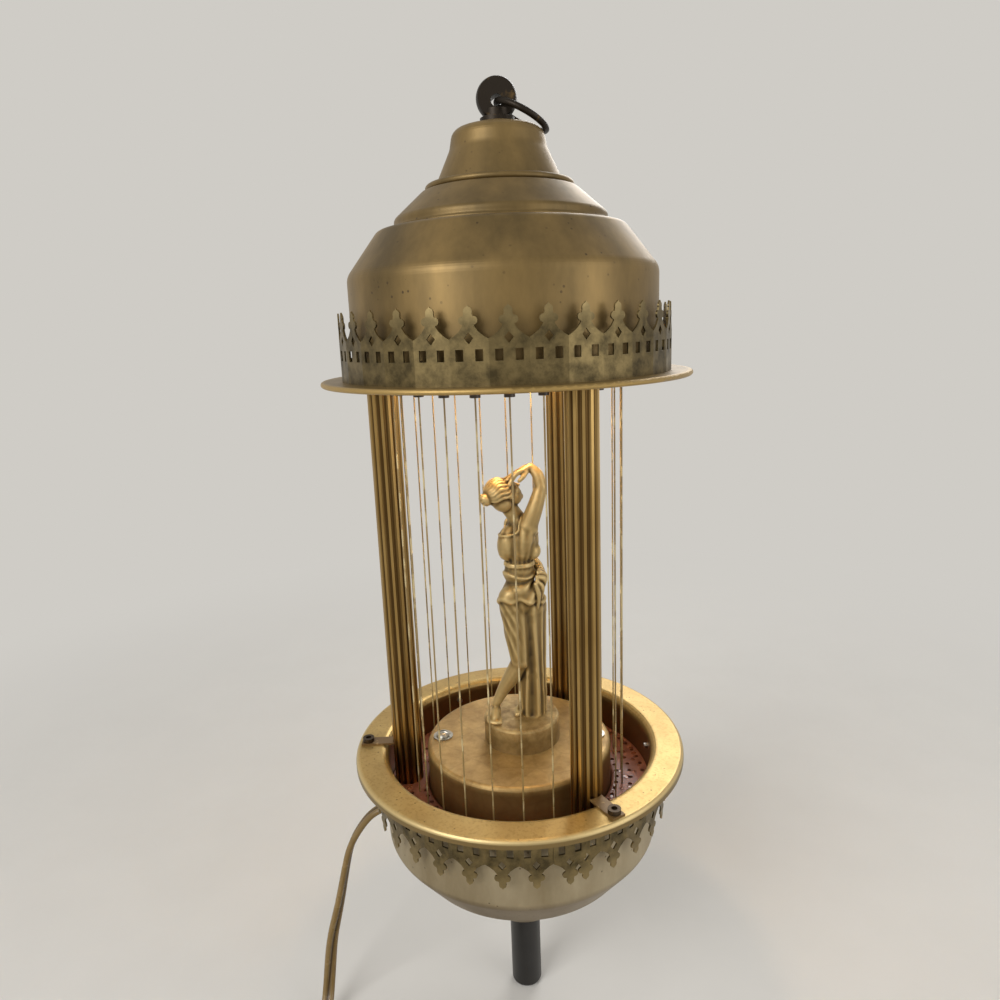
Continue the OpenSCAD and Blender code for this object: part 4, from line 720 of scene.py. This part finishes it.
toes = ((-9.8, -12, 1.35), (-11.8, -12.4, 1.15), (-13.5, -11.9, 1.1), (-15, -11.1, 1.05), (-16.2, -10, 1.0))
for x, y, r in toes:
    strand([(x * 0.9 - 1.2, y * 0.75, 1.9), (x, y, r)], [1.5, r])
strand([(0.6, -0.4, 2.2), (-0.6, -4.2, 1.4)], [2.4, 1.5])
# The raised arm with its hand on the hair, and the lowered arm across the waist
strand([(8.6, -5.4, 108), (12.2, -6, 117.5), (15.4, -5.4, 127.6)], [5.0, 4.3, 3.3])
strand([(15.4, -5.4, 128), (14, -4.6, 134), (10.6, -3.2, 137.8)], [3.3, 3.1, 2.3])
mass((7.4, -2.9, 137), (4.4, 3.5, 1.8), (0, -24, 0))
strand([(0.6, 9.4, 105), (4.8, 12, 96), (8, 12, 87)], [4.6, 4.1, 3.5])
strand([(8, 12, 87), (13, 7, 82), (15.2, 1.6, 79)], [3.5, 3.3, 2.3])
torso = fuse("figure", 0.0006, 7)


def per_vertex(mesh, kind):
    """Places or normals of a mesh's vertices, one to a row."""
    values = np.empty(len(mesh.vertices) * 3)
    mesh.vertices.foreach_get(kind, values)
    return values.reshape(-1, 3)


def ramp(value, low, high):
    """Goes smoothly from 0 at low to 1 at high."""
    part = np.clip((value - low) / (high - low), 0, 1)
    return part * part * (3 - 2 * part)


# Cloth: the long fall beside the standing leg gathers in deep upright folds, the thigh draws it
# into slanting ones, and the tunic lies close with fine pleats
spots, normals = per_vertex(torso.data, "co"), per_vertex(torso.data, "normal")
x, y, z = (spots * 1000 + np.array([0, 0, EYE_ABOVE_FLANGE - PLINTH_TOP])).T
leg_x, leg_y, body_x = 8, 1, 3.4
turn = np.arctan2(y - leg_y, x - leg_x)
fall = ramp(x + 0.12 * y, -1.5, 2.5) * ramp(z, 70, 62) * ramp(z, -1, 1)
sway = turn * 10 + 1.1 * np.sin(z / 19 + 2 * turn) + 0.9 * np.sin(turn * 3 + 0.6)
deep = 1 - np.abs(np.sin(sway / 2)) ** 0.9 + 0.3 * np.sin(turn * 5 + z / 40)
push = fall * (0.45 + 0.85 * ramp(z, 64, 6)) * (deep - 0.4) * 1.25
thigh = (1 - ramp(x + 0.12 * y, -1.5, 2.5)) * ramp(z, 70, 64) * ramp(z, 30, 36)
slant = (z * 0.5 + x * 1.0 - y * 0.5 + 1.8 * np.sin(z / 10)) * 0.66
push += thigh * 0.45 * (0.5 - np.abs(np.sin(slant)) ** 0.8)
# The mantle is folded over at the hips: its folds spread from where it is tucked in at the right
round_body = np.arctan2(y, x - body_x)
tucked = np.abs((round_body + 0.25 + np.pi) % (2 * np.pi) - np.pi) * 10
spread = np.arctan2(z - 80, tucked + 1.5)
upper = 82 + 1.2 * np.sin(round_body * 2 + 0.6)
lower = 66.5 + 1.6 * np.sin(round_body * 2 - 1) + 0.8 * np.sin(round_body * 7)
arms = np.hypot(x - 4, y) > 12.4
folded = ramp(z, lower - 0.5, lower + 0.7) * ramp(z, upper + 0.3, upper - 0.7)
rays = 0.5 * np.sin(spread * 13 + 0.5 * np.sin(tucked / 4)) * ramp(tucked, 0, 7)
push += folded * ~(arms & (z > 74)) * (0.9 + rays)
push += 0.45 * np.exp(-((z - lower - 1.2) / 1.3) ** 2) * (x > -9)
tunic = ramp(z, 83, 87) * ramp(z, 110, 104) * ~(np.hypot(x - 4, y) > 11.6)
fine = np.sin(round_body * 17 + 0.5 * np.sin(z / 5) + 0.10 * (z - 94) * np.sin(round_body * 2))
push += tunic * 0.16 * fine * (0.5 + ramp(np.abs(z - 96), 2, 12))
spots += normals * (push / 1000)[:, None]
torso.data.vertices.foreach_set("co", spots.ravel())

# The tail of the mantle, pulled through at the right hip and hanging in soft loops
for start, middle, end, thick in (
    ((12.6, -5.6, 80), (15.8, -3.6, 78), (14.6, -1.2, 71), 2.0),
    ((13.2, -3.6, 82), (16.4, -1.6, 79), (15.6, 0.4, 72), 1.9),
    ((12.2, -6.6, 78), (14.6, -5.4, 74), (13.6, -3.6, 66), 1.7),
    ((13.6, -1.4, 82.4), (16, 1.4, 79), (15, 3, 71), 1.8),
    ((11.2, -7.6, 77), (12.8, -6.8, 71), (12, -5.4, 62), 1.4),
):
    strand([start, middle, end], [thick * 0.7, thick, thick * 0.5])


def laid(points, sink):
    """Points moved onto the body's skin, so a hem or strap lies on it."""
    resting = []
    for p in points:
        _, spot, normal, _ = torso.closest_point_on_mesh(stand(*p))
        spot = (spot + normal * sink / 1000) * 1000
        resting.append((spot.x, spot.y, spot.z + EYE_ABOVE_FLANGE - PLINTH_TOP))
    return resting


# Hems: the tunic's girdle and its neckline, behind and in front
girdle = [(3.6 + 8 * math.cos(math.tau * k / 24), 8 * math.sin(math.tau * k / 24), 87.4) for k in range(25)]
strand(laid(girdle, 0.2), [0.6, 0.6])
strand(laid([(p[0], p[1], p[2] - 1.2) for p in girdle], 0.2), [0.55, 0.55])
neckline = [(8.8, -4.4, 112), (6, -5.4, 106), (-2, -8, 103.5), (-8, -4, 103.6), (-6, 4, 105), (0, 8, 112)]
strand(laid(smooth([Vector(p) for p in neckline], 4), 0.15), [0.55, 0.5, 0.55])
front = [(8.8, -4.4, 112), (12.5, -3, 105), (13, 2.4, 101.5), (9.6, 7, 104), (2.4, 9, 112)]
strand(laid(smooth([Vector(p) for p in front], 4), 0.15), [0.55, 0.5, 0.55])

# Head: its own frame points the face ahead and the crown up, thrown back and turned away
crown = Vector((-0.62, -0.12, 0.775)).normalized()
gaze = Vector((0.91, 0.42, 0))
gaze = (gaze - crown * gaze.dot(crown)).normalized()
left = crown.cross(gaze)
head_middle = Vector((-3.0, -1.4, 124.2))


def head(ahead, aside, above):
    """A point in the head's frame, in the figure's millimetres."""
    return head_middle + gaze * ahead + left * aside + crown * above


head_turn = [math.degrees(a) for a in Matrix((gaze, left, crown)).transposed().to_euler()]
mass(head(-0.6, 0, 1.6), (7.7, 6.7, 7.4), head_turn)
mass(head(2.4, 0, -2.6), (5.4, 5.2, 6.6), head_turn)
mass(head(5.0, 0, -7.2), (2.0, 2.2, 1.7), head_turn)
strand([head(6.9, 0, 1.4), head(7.9, 0, -0.6), head(8.8, 0, -2.3)], [0.75, 0.75, 0.95])
for side in (-1, 1):
    strand([head(6.9, 0.7 * side, 2), head(6.9, 2.4 * side, 2.6), head(5.4, 4.3 * side, 2)],
           [0.6, 0.75, 0.5])
    mass(head(5.7, 2.4 * side, 0.4), (1.3, 1.6, 1.1), head_turn)
    strand([head(6.9, 1.2 * side, 0.3), head(7.2, 2.4 * side, 0.1), head(6.2, 3.9 * side, 0.3)],
           [0.25, 0.35, 0.25])
    mass(head(4.0, 2.9 * side, -2.4), (2.9, 2.2, 2.8), head_turn)
    mass(head(7.8, 0.7 * side, -2.5), (0.8, 0.6, 0.55), head_turn)
    strand([head(7.3, 0, -4.4), head(7.1, 0.9 * side, -4.3), head(6.2, 2 * side, -4.7)], [0.5, 0.55, 0.25])
    strand([head(7.2, 0, -5.4), head(6.9, 0.9 * side, -5.3), head(6.2, 1.8 * side, -4.9)],
           [0.6, 0.55, 0.25])
    mass(head(-0.6, 6.3 * side, -0.8), (1.6, 0.8, 2.3), head_turn)

# Hair: a cap of wavy locks combed back from the brow to a knot, and the fingers laid over them
mass(head(-1.8, 0, 2.3), (7.7, 7.1, 7.3), head_turn)
mass(head(-4.2, 0, -1.6), (4.8, 5.8, 6.0), head_turn)
knot = (-9.6, 0, 5.4)
for k in range(15):
    over = math.radians(-118 + 236 * k / 14)
    brow = Vector((0.62 - 0.34 * abs(k - 7) / 7, math.sin(over) * 0.86, math.cos(over) * 0.8)).normalized()
    back = Vector((-0.9, 0.12 * math.sin(over), 0.36 + 0.14 * math.cos(over))).normalized()
    lock = []
    for step in range(9):
        way = brow.slerp(back, step / 8)
        across = brow.cross(back).normalized()
        way = (way + across * 0.06 * math.sin(step * 1.5 + k * 0.4)).normalized()
        lock.append(head(-1.8 + 7.9 * way.x, 7.3 * way.y, 2.3 + 7.5 * way.z))
    strand(lock, [0.65, 1.05, 1.0, 0.8])
mass(head(*knot), (2.6, 3.2, 3.2), head_turn)
for k in range(5):
    ring = []
    for step in range(9):
        at = math.tau * step / 8
        tilt = math.radians(36 * k)
        ring.append(head(knot[0] - 0.3 + 2.2 * math.sin(at) * math.sin(tilt), knot[1] + 3.1 * math.cos(at),
                         knot[2] + 3.1 * math.sin(at) * math.cos(tilt)))
    strand(ring, [0.75, 0.75])
fingers = ((-5.4, (-0.4, -6.2, 129.8)), (-3.7, (-2.2, -4.4, 131.2)), (-2, (-2.4, -2.2, 131.9)),
           (-0.4, (-1.2, 0, 131.9)))
for from_y, tip in fingers:
    strand([(7, from_y, 136.6), (3, from_y - 0.3, 134.8), tip], [1.35, 1.3, 1.05])
strand([(8.2, -5.4, 135.8), (6.6, -6.6, 133.6), (4.6, -6.6, 131.6)], [1.4, 1.25, 1.0])
figure = fuse("draped_figure", 0.00042, 2)

# Hollows of the casting, from how far a point lies below the middle of its neighbours
count = len(figure.data.vertices)
spots, normals = per_vertex(figure.data, "co"), per_vertex(figure.data, "normal")
pairs = np.empty(len(figure.data.edges) * 2, dtype=np.int32)
figure.data.edges.foreach_get("vertices", pairs)
pairs = pairs.reshape(-1, 2)
ends, starts = np.concatenate((pairs[:, 0], pairs[:, 1])), np.concatenate((pairs[:, 1], pairs[:, 0]))
neighbours = np.bincount(ends, minlength=count)


def averaged(values):
    """The mean of a value over each point's neighbours."""
    return np.bincount(ends, weights=values[starts], minlength=count) / neighbours


spread_out = spots.copy()
for _ in range(10):
    spread_out = np.stack([averaged(axis) for axis in spread_out.T], axis=1)
full_depth = 0.0005
hollow = np.einsum("ij,ij->i", spread_out - spots, normals) / full_depth
for _ in range(3):
    hollow = (hollow + averaged(hollow)) / 2
hollow = np.clip(0.5 + hollow, 0, 1)
figure.data.attributes.new("hollow", "FLOAT", "POINT").data.foreach_set("value", hollow)
bpy.ops.object.shade_smooth()

# Cold-cast bronze: dark patina left in the hollows, the heights rubbed to pale gold, a sandy cast skin
cast_bronze, shader, coords, node = new_finish("cold_cast_bronze")
carved = node("Attribute", {"attribute_name": "hollow"})
cloud = node("TexNoise", {"Scale": 1000 / 9, "Detail": 5}, {"Vector": coords})
low = node("MapRange", {"From Min": 0.48, "From Max": 0.85}, {"Value": carved.outputs["Fac"]})
high = node("MapRange", {"From Min": 0.5, "From Max": 0.2}, {"Value": carved.outputs["Fac"]})
tone = node("Mix", {"data_type": "RGBA", 6: "#84693a", 7: "#a38a55"}, {0: cloud})
raised = node("Mix", {"data_type": "RGBA", 7: "#cbb078"}, {0: high, 6: tone})
whole = node("Mix", {"data_type": "RGBA", 7: "#42331a"}, {0: low, 6: raised})
gloss = node("MapRange", {"To Min": 0.42, "To Max": 0.68}, {"Value": low})
roughen(cast_bronze, shader, coords, 0.7, 3, 0.18)
node(shader, {"Metallic": 0.45}, {"Base Color": whole, "Roughness": gloss})
figure.data.materials.clear()
figure.data.materials.append(cast_bronze)
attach(figure, "lamp")
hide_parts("figure")
# The same casting on the plinth, darker brown down the side than on its top
cast_base, shader, coords, node = new_finish("cold_cast_bronze_plinth")
cloud, _, tone = mottled(cast_base, coords, 7, 6, 0.6, (0.35, 0.65), ("#866b3c", "#bda16a"))
whole = shade_below(cast_base, coords, tone, 0.0125, 0.007, 0.6, "#66502a")
gloss = node("MapRange", {"To Min": 0.62, "To Max": 0.42}, {"Value": cloud})
roughen(cast_base, shader, coords, 0.7, 3, 0.18)
node(shader, {"Metallic": 0.45}, {"Base Color": whole, "Roughness": gloss})
dress(cast_base, "plinth")


# Pump: a gear pump under the pedestal lifts the oil from the sump. Housing, cover and two gears are
# moulded, and screwed together over the motor's shaft.
# Acetal: ivory, waxy and stained amber by oil
acetal, *_ = clouded("oil_stained_acetal", 9, 5, ("#b59d68", "#ded6bd"), (0.22, 0.45),
                     {"IOR": 1.48, "Subsurface Weight": 0.1,
                      "Subsurface Radius": (0.002, 0.0015, 0.001)})
dress(acetal, "pump_housing", "pump_cover", "pump_drive_gear", "pump_idler_gear")


# Motor: a shaded-pole motor under the basin. Its stack of sheet-steel laminations is riveted, the
# rotor turns in two bridges, and the winding sits on one leg under a wrap of varnished tape.
# Lamination steel: blue-grey edges 0.5 mm thick with rust-brown varnish between them
laminated, shader, coords, node = new_finish("varnished_laminations")
sheets = node("TexWave", {"bands_direction": "Z", "Scale": 100 * math.pi / 0.5, "Distortion": 0.3},
              {"Vector": coords})
rust = node("TexNoise", {"Scale": 1000 / 6, "Detail": 5}, {"Vector": coords})
steel = node("Mix", {"data_type": "RGBA", 6: "#5f5a55", 7: "#6d4a30"}, {0: rust})
tone = node("Mix", {"data_type": "RGBA", 6: "#2d241d"}, {0: sheets.outputs["Fac"], 7: steel})
gloss = node("MapRange", {"To Min": 0.55, "To Max": 0.32}, {"Value": sheets.outputs["Fac"]})
bump = node("Bump", {"Strength": 0.3, "Distance": 0.0001}, {"Height": sheets.outputs["Fac"]})
node(shader, {"Metallic": 0.8}, {"Base Color": tone, "Roughness": gloss, "Normal": bump})
dress(laminated, "motor_stator", "motor_rotor")
# Varnished cambric tape: amber-brown turns about 6 mm wide that lap each other, with a cloth grain
taped, shader, coords, node = new_finish("varnished_cambric_tape")
laps = node("TexWave",
            {"bands_direction": "Z", "wave_profile": "SAW", "Scale": 100 * math.pi / 6,
             "Distortion": 0.5}, {"Vector": coords})
weave = node("TexNoise", {"Scale": 1000 / 0.7, "Detail": 2}, {"Vector": coords})
tone = node("Mix", {"data_type": "RGBA", 6: "#50300f", 7: "#93602a"}, {0: laps.outputs["Fac"]})
gloss = node("MapRange", {"To Min": 0.25, "To Max": 0.5}, {"Value": weave})
bump = node("Bump", {"Strength": 0.4, "Distance": 0.0003}, {"Height": laps.outputs["Fac"]})
node(shader, {"Coat Weight": 0.3}, {"Base Color": tone, "Roughness": gloss, "Normal": bump})
dress(taped, "motor_coil")


# Bowl: a deep spun shell that hides the motor, screwed to the basin from inside. Steel sheet in
# beige gold; the cord leaves at its left side and the switch knob hangs under it.
# Beige gold spray: duller than the basin, sanded streaks round the wall, and painted shade below the bend
bowl_gold, shader, coords, node = new_finish("beige_gold_spray")
wiped = node("Mapping", {"Scale": (1, 1, 0.4)}, {"Vector": coords})
cloud, _, tone = mottled(bowl_gold, wiped, 26, 6, 0.6, (0.32, 0.68), ("#8b7c5e", "#aea083"))
dots = node("TexVoronoi", {"Scale": 1000 / 5}, {"Vector": coords})
speck = node("MapRange", {"From Min": 0.08, "From Max": 0.13, "To Min": 0.6, "To Max": 0},
             {"Value": dots})
spotted = node("Mix", {"data_type": "RGBA", 7: "#4a3b24"}, {0: speck, 6: tone})
# Painted shade: from the bend line, 48 mm under the flange, the tone turns darker brown downwards
whole = shade_below(bowl_gold, coords, spotted, -0.046, -0.05, 0.6, "#66533a")
gloss = node("MapRange", {"To Min": 0.56, "To Max": 0.4}, {"Value": cloud})
roughen(bowl_gold, shader, coords, 0.9, 2, 0.14)
node(shader, {"Metallic": 0.5}, {"Base Color": whole, "Roughness": gloss})
dress(bowl_gold, "bowl_shell")


# Switch: a rotary switch inside the bowl's bottom, with a plain turned knob pushed on its shaft.
# The knob is moulded plastic with a slight draught.
# Black moulded plastic: satin, with finger shine and fine scratches round it
knob_black, shader, coords, node = clouded("black_moulded_plastic", 8, 4, ("#100f0e", "#24211e"),
                                           (0.28, 0.5), {"IOR": 1.5})
rings = node("Mapping", {"Scale": (0.15, 0.15, 1)}, {"Vector": coords})
scratch = node("TexNoise", {"Scale": 1000 / 0.6, "Detail": 2}, {"Vector": rings})
bump = node("Bump", {"Strength": 0.12, "Distance": 0.0001}, {"Height": scratch})
node(shader, {}, {"Normal": bump})
dress(knob_black, "switch_knob")


# Galleries: two pierced strips with arches, windows and three-lobed tips, one standing up round the
# canopy and one hanging under the flange. Pressed brass strip, bent to a ring and lapped at a seam.
# Aged brass: brown tarnish in clouds, rubbed to gold at the lobes
aged_brass, shader, coords, node = new_finish("aged_pressed_brass")
parts = node("SeparateXYZ", {}, {0: coords})
cloud, _, tone = mottled(aged_brass, coords, 7, 6, 0.65, (0.35, 0.65), ("#4a4029", "#7c6c48"))
# The lobes end 25 to 31 mm from the strip's foot, above the brim and below the flange alike
above = node("Math", {"operation": "ADD", 1: EYE - 0.1}, {0: parts.outputs["Z"]})
height = node("Math", {"operation": "ABSOLUTE"}, {0: above})
tips = node("MapRange", {"From Min": 0.122, "From Max": 0.131, "To Max": 0.55}, {"Value": height})
rubbed = node("Mix", {"data_type": "RGBA", 7: "#9f8c61"}, {0: tips, 6: tone})
gloss = node("MapRange", {"To Min": 0.55, "To Max": 0.3}, {"Value": cloud})
roughen(aged_brass, shader, coords, 0.7, 2, 0.15)
node(shader, {"Metallic": 0.85}, {"Base Color": rubbed, "Roughness": gloss})
dress(aged_brass, "crown_gallery", "bowl_gallery")


# Bushing and seal: a rubber bushing lines the cord's hole in the bowl, and a lip seal keeps the oil
# out of the motor. Both are moulded in the bands' rubber and pressed into their holes.
dress(rubber, "cord_bushing", "shaft_seal")


# Stage: a plain pale floor at the level of the knob's end that fades into a pale surrounding, and
# three large soft windows of light. None of it belongs to the lamp.
FLOOR_LEVEL = -0.4818
LAMP_MIDDLE = Vector((0, 0, -0.24))
BACKDROP = srgb("#cfccc6")
bpy.ops.mesh.primitive_plane_add(size=12, location=(0, 0, FLOOR_LEVEL))
floor = bpy.context.object
floor.name = "floor"
# Matte paper: even, with a faint mottle about 60 mm wide. From 0.25 m out it fades to the
# background's colour, so no horizon shows
paper, shader, coords, node = new_finish("pale_matte_paper")
mottle = node("TexNoise", {"Scale": 1000 / 60, "Detail": 3}, {"Vector": coords})
tone = node("Mix", {"data_type": "RGBA", 6: "#dcd9d3", 7: "#e4e1db"}, {0: mottle})
node(shader, {"Roughness": 0.85}, {"Base Color": tone})
far = node("VectorMath", {"operation": "LENGTH"}, {0: coords})
fade = node("MapRange", {"interpolation_type": "SMOOTHSTEP", "From Min": 0.25, "From Max": 0.9},
            {"Value": far})


def backdrop_rays(holder):
    """1 for a ray that shows the backdrop: from the camera, mirrored in metal or through glass."""
    ray = add(holder, "LightPath")
    mirrored = add(holder, "Math", {"operation": "MAXIMUM"},
                   {0: ray.outputs["Is Camera Ray"], 1: ray.outputs["Is Glossy Ray"]})
    return add(holder, "Math", {"operation": "MAXIMUM"},
               {0: mirrored, 1: ray.outputs["Is Transmission Ray"]})


seen = node("Math", {"operation": "MULTIPLY"}, {0: fade, 1: backdrop_rays(paper)})
distance = node("Emission", {"Color": BACKDROP})
mixed = node("MixShader", {}, {0: seen, 1: shader.outputs[0], 2: distance})
node(paper.node_tree.nodes["Material Output"], {}, {"Surface": mixed})
floor.data.materials.append(paper)
floor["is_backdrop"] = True
world = bpy.data.worlds.new("pale_studio")
scene.world = world
world.use_nodes = True
backdrop = world.node_tree.nodes["Background"]
ambient = [0.42 * c for c in srgb("#e6e3de")]
seen = add(world, "Mix", {"data_type": "RGBA", 6: ambient, 7: BACKDROP}, {0: backdrop_rays(world)})
add(world, backdrop, {"Strength": 1.0}, {"Color": seen})
for name, where, power, width in (
    ("key_window", (-0.75, -0.85, 0.35), 9.0, 0.7),
    ("fill_window", (0.95, -0.6, 0.05), 4.0, 0.9),
    ("rim_window", (0.35, 0.9, 0.45), 5.0, 0.6),
):
    bpy.ops.object.light_add(type="AREA", location=where)
    window = bpy.context.object
    window.name = name
    window.data.energy = power
    window.data.size = width
    window.rotation_euler = (Vector(where) - LAMP_MIDDLE).to_track_quat("Z", "Y").to_euler()

low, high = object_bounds()
